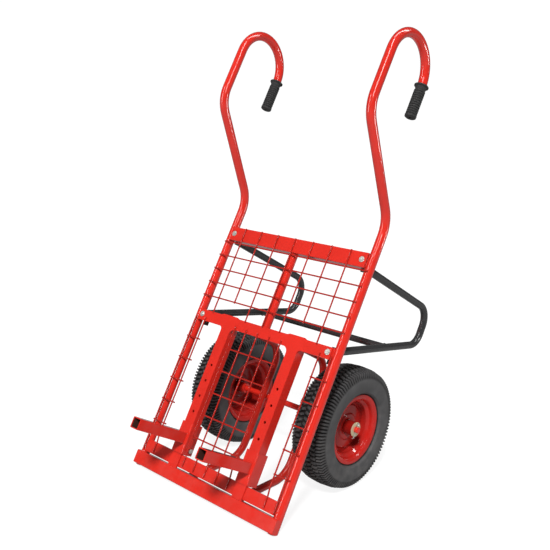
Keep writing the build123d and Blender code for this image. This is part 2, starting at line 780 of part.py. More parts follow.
def leg_path(side):
    """Bent line of a rest leg and its starting point."""
    x = side * LEG_X
    start = at(x, LEG_TOP, LEG_BACK + 1.0)
    path = FilletPolyline(
        start,
        at(x, LEG_TOP_BACK, -LEG_REACH),
        at(x, LEG_LOW_BACK, -LEG_REACH),
        at(x, LEG_LOW, LEG_BACK + 1.0),
        radius=LEG_BEND,
    )
    return path, start


def leg_heading():
    """Direction in which a rest leg leaves the top crossbar."""
    return Vector(0, LEG_REACH + LEG_BACK + 1.0, LEG_TOP_BACK - LEG_TOP)


def rest_leg(side):
    """Bent rest leg with its two bolted tabs."""
    path, start = leg_path(side)
    leg = swept_tube(path, start, leg_heading(), LEG_OD, LEG_WALL)
    leg -= block(-RAIL_X, RAIL_X, LEG_BACK, BAR_FRONT, BAND_TOP, KINK_LOW)
    low, high = -TAB_HALF, TAB_HALF
    x = side * BOLT_X
    room = BOLT_HEAD / math.sqrt(3) + NUT_POCKET
    for along in (TOP_ALONG, MID_ALONG):
        leg -= rod_out(x, along, BOLT_END - NUT_POCKET, LEG_BACK, room)
    upper = block(
        x + low, x + high, LEG_BACK, BAR_BACK, LEG_TOP - LEG_OD / 2, TOP_ALONG + TAB_LAP
    )
    lower = block(
        x + low, x + high, LEG_BACK, BAR_BACK, MID_ALONG - TAB_FOOT, LEG_LOW + LEG_OD / 2
    )
    leg = leg + upper + lower
    for along in (TOP_ALONG, MID_ALONG):
        leg -= rod_out(x, along, LEG_BACK - 1.0, BAR_BACK + 1.0, BOLT_HOLE / 2)
    return leg


def leg_crossbar():
    """Tube between the lower arms of the rest legs, coped to both."""
    bar = rod_across(-LEG_X, LEG_X, LEG_BAR_ALONG, -LEG_BAR_BACK, LEG_BAR_OD / 2)
    bar -= rod_across(-LEG_X, LEG_X, LEG_BAR_ALONG, -LEG_BAR_BACK, LEG_BAR_OD / 2 - LEG_WALL)
    for side in (-1, 1):
        path, start = leg_path(side)
        bar -= swept(path, start, leg_heading(), LEG_OD / 2)
    return bar


def leg_bolt(side, along):
    """Hexagon bolt and washer through a crossbar and a leg tab."""
    x = side * BOLT_X
    seat = BAR_FRONT + BOLT_WASHER
    bolt = rod_out(x, along, BOLT_END, seat, BOLT_OD / 2)
    bolt += rod_out(x, along, BAR_FRONT, seat, BOLT_WASHER_OD / 2)
    return bolt + hex_out(x, along, seat, seat + BOLT_HEAD_LENGTH, BOLT_HEAD)


def leg_nut(side, along):
    """Nut behind a leg tab."""
    x = side * BOLT_X
    nut = hex_out(x, along, LEG_BACK - BOLT_NUT_LENGTH, LEG_BACK, BOLT_HEAD)
    return nut - rod_out(x, along, LEG_BACK - BOLT_NUT_LENGTH, LEG_BACK, BOLT_OD / 2)


def sleeve_inner_face():
    """Distance of a sleeve's inner side face from the middle."""
    return FORK_X - SLEEVE_OUT / 2


def fork_sleeve(side):
    """Square sleeve that slides on an upright."""
    x = side * FORK_X
    half_out = SLEEVE_OUT / 2
    half_in = SLEEVE_IN / 2
    high = SLEEVE_LOW + SLEEVE_LENGTH
    mid = UPRIGHT_MID
    outer = block(x - half_out, x + half_out, mid - half_out, mid + half_out, SLEEVE_LOW, high)
    outer = rounded(outer, Axis.Z, SLEEVE_ROUND)
    inner = block(
        x - half_in, x + half_in, mid - half_in, mid + half_in, SLEEVE_LOW - 1.0, high + 1.0
    )
    face = side * sleeve_inner_face()
    through = face + side * (SLEEVE_WALL + 1.0)
    hole = rod_across(face - side, through, SCREW_ALONG, mid, SCREW_OD / 2 + 0.3)
    return outer - inner - hole


def fork_tine(side):
    """Open box-section tine welded to the front of a sleeve."""
    x = side * FORK_X
    half = TINE_WIDTH / 2
    low = TINE_ALONG - TINE_HEIGHT / 2
    high = TINE_ALONG + TINE_HEIGHT / 2
    outer = block(x - half, x + half, SLEEVE_FRONT, TINE_TIP, low, high)
    outer = rounded(outer, Axis.Y, TINE_ROUND)
    inner = block(
        x - half + TINE_WALL,
        x + half - TINE_WALL,
        SLEEVE_FRONT - 1.0,
        TINE_TIP + 1.0,
        low + TINE_WALL,
        high - TINE_WALL,
    )
    return outer - inner


def lock_nut(side):
    """Nut welded to the inner side of a sleeve."""
    face = side * sleeve_inner_face()
    end = face - side * LOCK_NUT_LENGTH
    nut = hex_across(face, end, SCREW_ALONG, UPRIGHT_MID, SCREW_HEAD)
    return nut - rod_across(face, end, SCREW_ALONG, UPRIGHT_MID, SCREW_OD / 2 + RUN_FIT)


def lock_screw(side):
    """Set screw that clamps a sleeve to its upright."""
    tip = side * (FORK_X - UPRIGHT / 2 - SCREW_TIP_GAP)
    neck = tip - side * SCREW_SHANK
    screw = rod_across(tip, neck, SCREW_ALONG, UPRIGHT_MID, SCREW_OD / 2)
    return screw + hex_across(neck, neck - side * SCREW_HEAD_LENGTH, SCREW_ALONG, UPRIGHT_MID, SCREW_HEAD)


def build():
    """All pieces of the barrow, upright in the frame's own coordinates."""
    nodes = {
        "top_crossbar": crossbar(TOP_LOW, TOP_HIGH, BAR_FRONT),
        "middle_crossbar": crossbar(MID_LOW, MID_HIGH, PLATE_BACK),
        "fork_carrier": fork_carrier(),
        "bottom_band": bottom_band(),
        "toe_bar": toe_bar(),
        "centre_stay": centre_stay(),
        "upper_mesh": upper_mesh(),
        "lower_mesh_centre": lower_mesh_centre(),
        "axle": axle(),
        "leg_crossbar": leg_crossbar(),
    }
    treaded = tyre()
    for side, name in ((-1, "left"), (1, "right")):
        nodes[f"side_rail_{name}"] = side_rail(side)
        nodes[f"hand_grip_{name}"] = hand_grip(side)
        nodes[f"fork_upright_{name}"] = fork_upright(side)
        nodes[f"lower_mesh_{name}"] = lower_mesh_side(side)
        nodes[f"axle_bracket_{name}"] = axle_bracket(side)
        nodes[f"axle_washer_{name}"] = axle_washer(side)
        nodes[f"axle_collar_{name}"] = axle_collar(side)
        nodes[f"split_pin_{name}"] = split_pin(side)
        nodes[f"rim_{name}"] = on_axle(side, rim())
        nodes[f"wheel_disc_{name}"] = on_axle(side, wheel_disc())
        nodes[f"hub_{name}"] = on_axle(side, hub())
        nodes[f"hub_bush_outer_{name}"] = on_axle(side, hub_bush(1))
        nodes[f"hub_bush_inner_{name}"] = on_axle(side, hub_bush(-1))
        nodes[f"tyre_{name}"] = on_axle(side, treaded)
        nodes[f"inner_tube_{name}"] = on_axle(side, inner_tube())
        nodes[f"valve_{name}"] = on_axle(side, valve_rod(VALVE_OD / 2))
        nodes[f"rest_leg_{name}"] = rest_leg(side)
        for place, along in (("upper", TOP_ALONG), ("lower", MID_ALONG)):
            nodes[f"leg_bolt_{place}_{name}"] = leg_bolt(side, along)
            nodes[f"leg_nut_{place}_{name}"] = leg_nut(side, along)
        nodes[f"fork_sleeve_{name}"] = fork_sleeve(side)
        nodes[f"fork_tine_{name}"] = fork_tine(side)
        nodes[f"lock_nut_{name}"] = lock_nut(side)
        nodes[f"lock_screw_{name}"] = lock_screw(side)
    return nodes


def main():
    """Lean the pieces, stand them on the floor about the middle and write one file each."""
    leaned = {name: Rot(-LEAN, 0, 0) * shape for name, shape in build().items()}
    whole = Compound(children=[Compound([solid]) for shape in leaned.values() for solid in shape.solids()])
    box = whole.bounding_box()
    centre = Pos(-(box.min.X + box.max.X) / 2, -(box.min.Y + box.max.Y) / 2, -box.min.Z)
    os.makedirs("parts", exist_ok=True)
    for name, shape in leaned.items():
        export_step(centre * shape, f"parts/{name}.step")


main()
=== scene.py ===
"""Brick barrow: paint, rubber, tread, rims, grips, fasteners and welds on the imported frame."""
import itertools
import json
import math

import bpy
from mathutils import Matrix, Vector


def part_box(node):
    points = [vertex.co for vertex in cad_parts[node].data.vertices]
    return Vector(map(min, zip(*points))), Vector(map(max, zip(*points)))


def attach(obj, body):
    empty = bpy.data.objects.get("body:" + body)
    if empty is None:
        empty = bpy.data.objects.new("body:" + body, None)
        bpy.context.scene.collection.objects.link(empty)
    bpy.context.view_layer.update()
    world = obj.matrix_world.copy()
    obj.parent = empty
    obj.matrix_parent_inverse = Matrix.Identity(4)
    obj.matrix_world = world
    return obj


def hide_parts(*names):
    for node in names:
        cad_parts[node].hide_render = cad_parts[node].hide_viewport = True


bl_info = {
    "name": "Brick Barrow",
    "version": (1, 0, 0),
    "blender": (4, 5, 0),
    "location": "View3D > Sidebar > Barrow",
    "description": "Dresses the packed brick barrow and sets it in a plain studio",
    "category": "Object",
}

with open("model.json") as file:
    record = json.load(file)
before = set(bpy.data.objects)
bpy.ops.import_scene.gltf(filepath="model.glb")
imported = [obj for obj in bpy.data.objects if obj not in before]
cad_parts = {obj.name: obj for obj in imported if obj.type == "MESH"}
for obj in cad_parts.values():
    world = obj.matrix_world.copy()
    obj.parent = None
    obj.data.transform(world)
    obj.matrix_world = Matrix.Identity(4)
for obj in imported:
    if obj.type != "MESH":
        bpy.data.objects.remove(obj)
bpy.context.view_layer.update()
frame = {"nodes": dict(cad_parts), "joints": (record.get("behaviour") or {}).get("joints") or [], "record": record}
NODES = frame["nodes"]
MM = 0.001
SIDES = (("left", -1), ("right", 1))

# Directions of the leaning frame, read from the fork's slide
SLIDE = next(joint for joint in frame["joints"] if joint["name"] == "fork_left_slide")
ACROSS = Vector((1, 0, 0))
UP = Vector((0, 0, 1))
ALONG = Vector(SLIDE["axis"]).normalized()
FORWARD = ACROSS.cross(ALONG)


def span(node, direction):
    """Lowest and highest reach of a CAD node along a direction."""
    reach = [vertex.co.dot(direction) for vertex in NODES[node].data.vertices]
    return min(reach), max(reach)


def middle(node, direction):
    """Middle of a CAD node along a direction."""
    return sum(span(node, direction)) / 2


def size(node, direction):
    """Length of a CAD node along a direction."""
    low, high = span(node, direction)
    return high - low


def centre(node):
    """Middle of a CAD node's box."""
    low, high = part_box(node)
    return (low + high) / 2


def place(across, along, forward):
    """Point at the given reach along the leaning frame's directions."""
    return ACROSS * across + ALONG * along + FORWARD * forward


TYRE_RADIUS = size("tyre_right", UP) / 2
TYRE_DEEPER = 28.0 * MM  # how far tyre and rim reach further in than their solids
TYRE_HALF = (size("tyre_right", ACROSS) + TYRE_DEEPER) / 2
FLANGE_RADIUS = size("rim_right", UP) / 2
AXLE_RADIUS = size("axle", UP) / 2
RAIL_RADIUS = size("side_rail_right", ACROSS) / 2


# Settings


def colour_setting(name, description, red, green, blue):
    """Colour that a user may change."""
    return bpy.props.FloatVectorProperty(
        name=name, description=description, subtype="COLOR",
        size=4, min=0, max=1, default=(red, green, blue, 1),
    )


def length_setting(name, description, length):
    """Length that a user may change."""
    return bpy.props.FloatProperty(name=name, description=description, unit="LENGTH", default=length)


def angle_setting(name, description, degrees):
    """Angle that a user may change."""
    return bpy.props.FloatProperty(
        name=name, description=description, subtype="ANGLE", default=math.radians(degrees),
    )


class BarrowFinish(bpy.types.PropertyGroup):
    """Colours of the paints, rubbers, platings and bushes."""

    frame_red: colour_setting("Frame red", "Enamel on the frame and forks", 0.54, 0.018, 0.010)
    rim_red: colour_setting("Rim red", "Darker enamel on the rims", 0.38, 0.011, 0.008)
    leg_black: colour_setting("Leg black", "Powder coat on the rest legs", 0.023, 0.023, 0.024)
    tyre_grey: colour_setting("Tyre grey", "Rubber of the tyres", 0.050, 0.049, 0.050)
    grip_black: colour_setting("Grip black", "Moulded rubber of the grips", 0.008, 0.008, 0.008)
    # Bare dark: painted shade inside the open tines
    bare_dark: colour_setting("Bare dark", "Thin overspray inside the tines", 0.070, 0.026, 0.020)
    zinc: colour_setting("Zinc", "Plating on bolts, nuts and pins", 0.58, 0.56, 0.52)
    yellow_zinc: colour_setting("Yellow zinc", "Plating on the axle washers", 0.72, 0.62, 0.40)
    bush_white: colour_setting("Bush white", "Nylon of the hub bushes", 0.62, 0.60, 0.54)


class BarrowTyre(bpy.types.PropertyGroup):
    """Tread of the tyres."""

    repeats: bpy.props.IntProperty(
        name="Repeats", description="Repeats of the tread pattern round a tyre",
        default=36, min=14, max=53,
    )
    lug_length: length_setting("Block length", "Length of a shoulder block round the tyre", 6.3 * MM)


class BarrowGrip(bpy.types.PropertyGroup):
    """Moulding of the hand grips."""

    rib_pitch: length_setting("Rib pitch", "Distance from rib to rib", 7.5 * MM)
    rib_depth: length_setting("Rib depth", "Depth between two ribs", 2.6 * MM)


class BarrowWeld(bpy.types.PropertyGroup):
    """Weld beads."""

    bead: length_setting("Bead", "Radius of a weld bead", 2.6 * MM)
    ripple: length_setting("Ripple", "Distance from ripple to ripple", 3.0 * MM)


class BarrowStudio(bpy.types.PropertyGroup):
    """Camera and floor."""

    eye: bpy.props.FloatVectorProperty(
        name="Eye", description="Place of the camera", subtype="XYZ", unit="LENGTH",
        size=3, default=(1.619754, -1.851989, 1.210664),
    )
    yaw: angle_setting("Yaw", "Turn of the camera to the left", 41.4723)
    pitch: angle_setting("Pitch", "Downward tilt of the camera", 12.4416)
    roll: angle_setting("Roll", "Sideways tilt of the camera", 2.6889)
    lens: bpy.props.FloatProperty(
        name="Lens", description="Focal length in millimetres", default=51.0117, min=20, max=200,
    )
    floor: length_setting("Floor", "Width of the floor", 60.0)


GROUPS = {
    "barrow_finish": BarrowFinish,
    "barrow_tyre": BarrowTyre,
    "barrow_grip": BarrowGrip,
    "barrow_weld": BarrowWeld,
    "barrow_studio": BarrowStudio,
}


# Node groups


VECTOR = "NodeSocketVector"
COLOUR = "NodeSocketColor"
NUMBER = "NodeSocketFloat"


def connect(tree, value, socket):
    """Links a socket to another one, or sets it to a plain value."""
    if isinstance(value, bpy.types.NodeSocket):
        tree.links.new(value, socket)
    else:
        socket.default_value = value


def feed(tree, node, **values):
    """Links or sets the inputs of a node by name, where _ stands for a space."""
    for label, value in values.items():
        connect(tree, value, node.inputs[label.replace("_", " ")])


def new_group(name, inputs, outputs):
    """Empty shader node group, the sockets of its input node and its output node."""
    group = bpy.data.node_groups.new(name, "ShaderNodeTree")
    for label, kind, *default in inputs:
        socket = group.interface.new_socket(label, in_out="INPUT", socket_type=kind)
        if default:
            socket.default_value = default[0]
    for label, kind in outputs:
        group.interface.new_socket(label, in_out="OUTPUT", socket_type=kind)
    return group, group.nodes.new("NodeGroupInput").outputs, group.nodes.new("NodeGroupOutput")


def noise(tree, vector, scale, detail):
    """Noise texture over a vector."""
    node = tree.nodes.new("ShaderNodeTexNoise")
    feed(tree, node, Vector=vector, Scale=scale, Detail=detail)
    return node.outputs["Fac"]


def remap(tree, value, low, high, to_low, to_high, course="LINEAR"):
    """Value moved from one range to another, held at its ends."""
    node = tree.nodes.new("ShaderNodeMapRange")
    node.interpolation_type = course
    feed(tree, node, Value=value, From_Min=low, From_Max=high, To_Min=to_low, To_Max=to_high)
    return node.outputs["Result"]


def blend_colour(tree, factor, first, second):
    """Colour between two colours."""
    node = tree.nodes.new("ShaderNodeMix")
    node.data_type = "RGBA"
    feed(tree, node, Factor=factor, A=first, B=second)
    return node.outputs["Result"]


def reckoned(tree, kind, operation, *values):
    """Outputs of a math node that works on sockets or plain values."""
    node = tree.nodes.new(kind)
    node.operation = operation
    for value, socket in zip(values, node.inputs):
        connect(tree, value, socket)
    return node.outputs


def weighted_sum(tree, first, second, weight):
    """First value plus the second one weighted."""
    return reckoned(tree, "ShaderNodeMath", "MULTIPLY_ADD", second, weight, first)["Value"]


def coat_film():
    """Sprayed coat: slight clouding of the colour, orange peel and uneven gloss."""
    group, given, result = new_group(
        "coat_film",
        [
            ("Vector", VECTOR),
            ("Color", COLOUR),
            ("Shade", COLOUR),
            ("Cloud Scale", NUMBER, 9.0),
            ("Peel Scale", NUMBER, 420.0),
            ("Gloss Low", NUMBER, 0.16),
            ("Gloss High", NUMBER, 0.28),
        ],
        [("Color", COLOUR), ("Roughness", NUMBER), ("Height", NUMBER)],
    )
    cloud = noise(group, given["Vector"], given["Cloud Scale"], 4.0)
    clouding = remap(group, cloud, 0.35, 0.75, 0.0, 1.0)
    peel = noise(group, given["Vector"], given["Peel Scale"], 2.0)
    speck = noise(group, given["Vector"], 1500.0, 1.0)
    feed(
        group, result,
        Color=blend_colour(group, clouding, given["Color"], given["Shade"]),
        Roughness=remap(group, cloud, 0.3, 0.7, given["Gloss Low"], given["Gloss High"]),
        Height=weighted_sum(group, peel, speck, 0.25),
    )
    return group


def floor_dust():
    """Pale dust that gathers in patches towards the floor."""
    group, given, result = new_group(
        "floor_dust",
        [
            ("Vector", VECTOR),
            ("Color", COLOUR),
            ("Dust", COLOUR, (0.35, 0.32, 0.29, 1.0)),
            ("Amount", NUMBER, 0.15),
            ("Reach", NUMBER, 0.45),
        ],
        [("Color", COLOUR)],
    )
    split = group.nodes.new("ShaderNodeSeparateXYZ")
    feed(group, split, Vector=given["Vector"])
    nearness = remap(group, split.outputs["Z"], 0.0, given["Reach"], 1.0, 0.15)
    patches = remap(group, noise(group, given["Vector"], 38.0, 5.0), 0.4, 0.75, 0.0, 1.0)
    spread = reckoned(group, "ShaderNodeMath", "MULTIPLY", nearness, patches)["Value"]
    mask = reckoned(group, "ShaderNodeMath", "MULTIPLY", spread, given["Amount"])["Value"]
    feed(group, result, Color=blend_colour(group, mask, given["Color"], given["Dust"]))
    return group


def moulded_skin():
    """Moulded rubber: fine pebble grain with a duller bloom in patches."""
    group, given, result = new_group(
        "moulded_skin",
        [
            ("Vector", VECTOR),
            ("Color", COLOUR),
            ("Bloom", COLOUR),
            ("Grain Scale", NUMBER, 900.0),
            ("Dull Low", NUMBER, 0.5),
            ("Dull High", NUMBER, 0.7),
        ],
        [("Color", COLOUR), ("Roughness", NUMBER), ("Height", NUMBER)],
    )
    patches = noise(group, given["Vector"], 22.0, 5.0)
    blooming = remap(group, patches, 0.35, 0.7, 0.0, 1.0)
    grain = noise(group, given["Vector"], given["Grain Scale"], 3.0)
    coarse = noise(group, given["Vector"], 260.0, 2.0)
    feed(
        group, result,
        Color=blend_colour(group, blooming, given["Color"], given["Bloom"]),
        Roughness=remap(group, patches, 0.3, 0.7, given["Dull Low"], given["Dull High"]),
        Height=weighted_sum(group, grain, coarse, 0.6),
    )
    return group


def wheel_band():
    """Colour that changes from an inner to an outer one over a span of distances from the axle."""
    group, given, result = new_group(
        "wheel_band",
        [
            ("Vector", VECTOR),
            ("Color", COLOUR),
            ("Inner", COLOUR),
            ("Axle", VECTOR),
            ("From", NUMBER, 0.1),
            ("To", NUMBER, 0.11),
        ],
        [("Color", COLOUR)],
    )
    offset = reckoned(group, "ShaderNodeVectorMath", "SUBTRACT", given["Vector"], given["Axle"])["Vector"]
    flat = reckoned(group, "ShaderNodeVectorMath", "MULTIPLY", offset, (0, 1, 1))["Vector"]
    distance = reckoned(group, "ShaderNodeVectorMath", "LENGTH", flat)["Value"]
    share = remap(group, distance, given["From"], given["To"], 0.0, 1.0, "SMOOTHSTEP")
    feed(group, result, Color=blend_colour(group, share, given["Inner"], given["Color"]))
    return group


# Finishes


# Where painted shade starts on a wheel (in the dish, along the tyre's bead, between the tread blocks), as
# distances from the axle
DISH_SHADE_EDGE = (80.0 * MM, 94.0 * MM)
BEAD_SHADOW_EDGE = (118.0 * MM, 120.5 * MM)
GROOVE_SHADE_EDGE = (166.5 * MM, 174.5 * MM)


def shaded(colour, factor):
    """Opaque colour multiplied by a factor."""
    return (colour[0] * factor, colour[1] * factor, colour[2] * factor, 1.0)


def new_material(name):
    """Material with a Principled shader, and its tree, shader and Object coordinates."""
    material = bpy.data.materials.new(name)
    material.use_nodes = True
    tree = material.node_tree
    coordinates = tree.nodes.new("ShaderNodeTexCoord")
    return material, tree, tree.nodes["Principled BSDF"], coordinates.outputs["Object"]


def use_group(tree, maker, vector, **values):
    """Outputs of a group in a material; its maker, of the same name, makes it the first time."""
    node = tree.nodes.new("ShaderNodeGroup")
    node.node_tree = bpy.data.node_groups.get(maker.__name__) or maker()
    feed(tree, node, Vector=vector, **values)
    return node.outputs


def band_round_axle(tree, vector, edge, inner, outer):
    """Colour in a material that changes at an edge round the axle."""
    band = use_group(
        tree, wheel_band, vector,
        Inner=inner, Color=outer, Axle=centre("axle"), From=edge[0], To=edge[1],
    )
    return band["Color"]


def bumped(tree, height, strength, distance):
    """Normal from a height."""
    bump = tree.nodes.new("ShaderNodeBump")
    feed(tree, bump, Height=height, Strength=strength, Distance=distance)
    return bump.outputs["Normal"]


def enamel(name, colour, gloss, shine, lacquer, peel=420.0, bump=0.004, dish=None):
    """Sprayed enamel or powder coat with a little dust near the floor, and with painted shade in a wheel's dish.
    """
    if name in bpy.data.materials:
        return bpy.data.materials[name]
    material, tree, shader, vector = new_material(name)
    film = use_group(
        tree, coat_film, vector,
        Color=colour, Shade=shaded(colour, 0.86),
        Peel_Scale=peel, Gloss_Low=gloss[0], Gloss_High=gloss[1],
    )
    sprayed = film["Color"]
    # Painted shade: inside the dish edge the colour is darkened by the dish factor
    if dish:
        sprayed = band_round_axle(tree, vector, DISH_SHADE_EDGE, shaded(colour, dish), sprayed)
    dusted = use_group(tree, floor_dust, vector, Color=sprayed, Amount=0.05, Reach=0.25)
    feed(
        tree, shader,
        Base_Color=dusted["Color"],
        Roughness=film["Roughness"],
        Normal=bumped(tree, film["Height"], bump, 0.4 * MM),
        Specular_IOR_Level=shine,
        Coat_Weight=lacquer,
        Coat_Roughness=0.13,
    )
    return material


def rubber(name, colour, dull, shine, grain, dusty=0.0, groove_shade=None):
    """Moulded rubber; on a tyre, painted shade between the tread blocks and a painted shadow along its bead."""
    if name in bpy.data.materials:
        return bpy.data.materials[name]
    material, tree, shader, vector = new_material(name)
    skin = use_group(
        tree, moulded_skin, vector,
        Color=colour, Bloom=shaded(colour, 1.35),
        Grain_Scale=grain, Dull_Low=dull[0], Dull_High=dull[1],
    )
    moulded = skin["Color"]
    # Painted shade between the tread blocks, and a painted shadow along the bead next to the rim
    if groove_shade:
        moulded = band_round_axle(tree, vector, GROOVE_SHADE_EDGE, moulded, shaded(colour, groove_shade))
        moulded = band_round_axle(tree, vector, BEAD_SHADOW_EDGE, shaded(colour, 0.12), moulded)
    dusted = use_group(tree, floor_dust, vector, Color=moulded, Amount=dusty, Reach=0.4)
    feed(
        tree, shader,
        Base_Color=dusted["Color"],
        Roughness=skin["Roughness"],
        Normal=bumped(tree, skin["Height"], 0.35, 0.4 * MM),
        Specular_IOR_Level=shine,
    )
    return material


def plating(name, colour):
    """Bright zinc plating, finely mottled."""
    if name in bpy.data.materials:
        return bpy.data.materials[name]
    material, tree, shader, vector = new_material(name)
    film = use_group(
        tree, coat_film, vector, Color=colour, Shade=shaded(colour, 0.78),
        Cloud_Scale=260.0, Peel_Scale=1800.0, Gloss_Low=0.24, Gloss_High=0.42,
    )
    feed(
        tree, shader,
        Base_Color=film["Color"],
        Roughness=film["Roughness"],
        Normal=bumped(tree, film["Height"], 0.2, 0.1 * MM),
        Metallic=0.55,
    )
    return material


def finishes():
    """The scene's colours."""
    return bpy.context.scene.barrow_finish


def frame_enamel():
    """Red of the frame and the forks."""
    return enamel("frame_enamel", finishes().frame_red, gloss=(0.10, 0.15), shine=0.4, lacquer=1.0)


def wire_enamel():
    """Darker copy of the frame red on the mesh wires: painted shade."""
    red = shaded(finishes().frame_red, 0.6)
    return enamel("wire_enamel", red, gloss=(0.12, 0.18), shine=0.4, lacquer=0.6)


def bracket_enamel():
    """Darker copy of the frame red on the axle brackets: painted shade."""
    red = shaded(finishes().frame_red, 0.62)
    return enamel("bracket_enamel", red, gloss=(0.10, 0.15), shine=0.4, lacquer=1.0)


def rim_enamel():
    """Red of the rims, with painted shade in the dish."""
    red = finishes().rim_red
    return enamel("rim_enamel", red, gloss=(0.06, 0.10), shine=0.3, lacquer=0.5, peel=380.0, dish=0.70)


def hub_enamel():
    """Darker copy of the rim red on the hubs: painted shade."""
    red = shaded(finishes().rim_red, 0.55)
    return enamel("hub_enamel", red, gloss=(0.06, 0.10), shine=0.3, lacquer=0.5, peel=380.0)


def leg_coat():
    """Black powder coat of the rest legs."""
    black = finishes().leg_black
    return enamel("leg_coat", black, gloss=(0.16, 0.22), shine=0.5, lacquer=0.6, peel=700.0, bump=0.04)


def bare_inside():
    """Dark, dull lining inside the tines: painted shade."""
    dark = finishes().bare_dark
    return enamel("bare_inside", dark, gloss=(0.5, 0.6), shine=0.1, lacquer=0.0, peel=300.0, bump=0.1)


def tyre_rubber():
    """Grey of the tyres' walls, with painted shade between the tread blocks and a painted shadow along the bead.
    """
    grey = finishes().tyre_grey
    return rubber("tyre_rubber", grey, dull=(0.5, 0.64), shine=0.2, grain=800.0, dusty=0.1, groove_shade=0.10)


def tread_rubber():
    """Darker copy of the tyre grey on the tread blocks: painted shade."""
    grey = shaded(finishes().tyre_grey, 0.7)
    return rubber("tread_rubber", grey, dull=(0.5, 0.64), shine=0.2, grain=800.0, dusty=0.12)


def grip_rubber():
    """Black of the grips and valves."""
    return rubber("grip_rubber", finishes().grip_black, dull=(0.16, 0.22), shine=0.6, grain=1100.0)


def nylon():
    """White of the hub bushes."""
    return rubber("nylon", finishes().bush_white, dull=(0.35, 0.5), shine=0.3, grain=1400.0)


def zinc_plate():
    """Plating of bolts, nuts, screws and pins."""
    return plating("zinc_plate", finishes().zinc)


def yellow_zinc_plate():
    """Plating of the axle washers."""
    return plating("yellow_zinc_plate", finishes().yellow_zinc)


def cover(node, material):
    """Gives a CAD node or a new piece one material."""
    node.data.materials.clear()
    node.data.materials.append(material)
    for face in node.data.polygons:
        face.material_index = 0


# Modelling helpers


MERGE = 0.01 * MM  # points nearer than this are one
STRAIGHT = math.radians(178)  # corners flatter than this aren't rounded
SIDE_SHARE = 0.45  # most of a side that a rounded corner takes


def clear_selection():
    """Object mode with nothing selected."""
    if bpy.context.object and bpy.context.object.mode != "OBJECT":
        bpy.ops.object.mode_set(mode="OBJECT")
    bpy.ops.object.select_all(action="DESELECT")


def pick(*pieces):
    """Object mode with only these pieces selected and the first one active."""
    clear_selection()
    for piece in pieces:
        piece.select_set(True)
    bpy.context.view_layer.objects.active = pieces[0]


def named(name):
    """Active object under a new name for it and its mesh."""
    piece = bpy.context.object
    piece.name = name
    piece.data.name = name
    return piece


def tidy_normals():
    """Merges doubles and turns all faces outwards, in edit mode."""
    bpy.ops.mesh.select_all(action="SELECT")
    bpy.ops.mesh.remove_doubles(threshold=MERGE)
    bpy.ops.mesh.normals_make_consistent(inside=False)


def closed_line(name, points):
    """New piece with a closed line of edges through points, all selected in edit mode."""
    clear_selection()
    bpy.ops.mesh.primitive_plane_add(size=MM, location=(0, 0, 0))
    piece = named(name)
    bpy.ops.object.mode_set(mode="EDIT")
    bpy.ops.mesh.select_mode(type="VERT")
    bpy.ops.mesh.select_all(action="SELECT")
    bpy.ops.mesh.merge(type="CENTER")
    bpy.ops.transform.translate(value=points[0])
    for here, there in zip(points, points[1:] + points[:1]):
        bpy.ops.mesh.extrude_vertices_move(TRANSFORM_OT_translate={"value": there - here})
    bpy.ops.mesh.select_all(action="SELECT")
    bpy.ops.mesh.remove_doubles(threshold=MERGE)
    bpy.ops.mesh.select_all(action="SELECT")
    return piece


def turned(name, section, steps):
    """Closed section of (along X, radius) points, in metres, turned about the X axis."""
    piece = closed_line(name, [Vector((along, 0, radius)) for along, radius in section])
    bpy.ops.mesh.spin(steps=steps, angle=2 * math.pi, center=(0, 0, 0), axis=(1, 0, 0))
    tidy_normals()
    bpy.ops.object.mode_set(mode="OBJECT")
    return piece


def rounded_section(points, radius, steps=4):
    """Closed section in millimetres with every corner rounded as far as its sides allow, in metres."""
    corners = [Vector(point) for point in points]
    section = []
    for index, corner in enumerate(corners):
        back = corners[index - 1] - corner
        ahead = corners[(index + 1) % len(corners)] - corner
        angle = back.angle(ahead)
        if angle > STRAIGHT:
            section.append(corner * MM)
            continue
        cut = min(radius / math.tan(angle / 2), SIDE_SHARE * back.length, SIDE_SHARE * ahead.length)
        start = corner + back.normalized() * cut
        end = corner + ahead.normalized() * cut
        for step in range(steps + 1):
            share = step / steps
            point = start * (1 - share) ** 2 + corner * 2 * share * (1 - share) + end * share ** 2
            section.append(point * MM)
    return [(point.x, point.y) for point in section]


def set_down(piece, matrix):
    """Moves a piece to its place and leaves the place in its mesh."""
    pick(piece)
    piece.matrix_world = matrix
    bpy.ops.object.transform_apply(location=True, rotation=True, scale=True)
    if matrix.determinant() < 0:
        bpy.ops.object.mode_set(mode="EDIT")
        tidy_normals()
        bpy.ops.object.mode_set(mode="OBJECT")


def copy_of(piece, name):
    """Copy of a piece with its own mesh."""
    pick(piece)
    bpy.ops.object.duplicate(linked=False)
    return named(name)


def joined(pieces, name):
    """Several pieces joined into one."""
    pick(*pieces)
    bpy.ops.object.join()
    return named(name)


def apply_all(piece):
    """Applies every modifier of a piece."""
    pick(piece)
    for modifier in list(piece.modifiers):
        bpy.ops.object.modifier_apply(modifier=modifier.name)


def flipped(sign):
    """Matrix that mirrors the X axis where the sign is negative."""
    return Matrix.Scale(sign, 4, ACROSS)


def arc(degrees, steps):
    """Angles from 0 in even steps, in radians."""
    return [math.radians(degrees * step / steps) for step in range(steps + 1)]


def facing(direction, up, origin):
    """Matrix that turns the X axis to a direction and the Z axis towards up."""
    x_axis = direction.normalized()
    y_axis = up.cross(x_axis).normalized()
    z_axis = x_axis.cross(y_axis)
    turn = Matrix((x_axis, y_axis, z_axis)).transposed().to_4x4()
    return Matrix.Translation(origin) @ turn


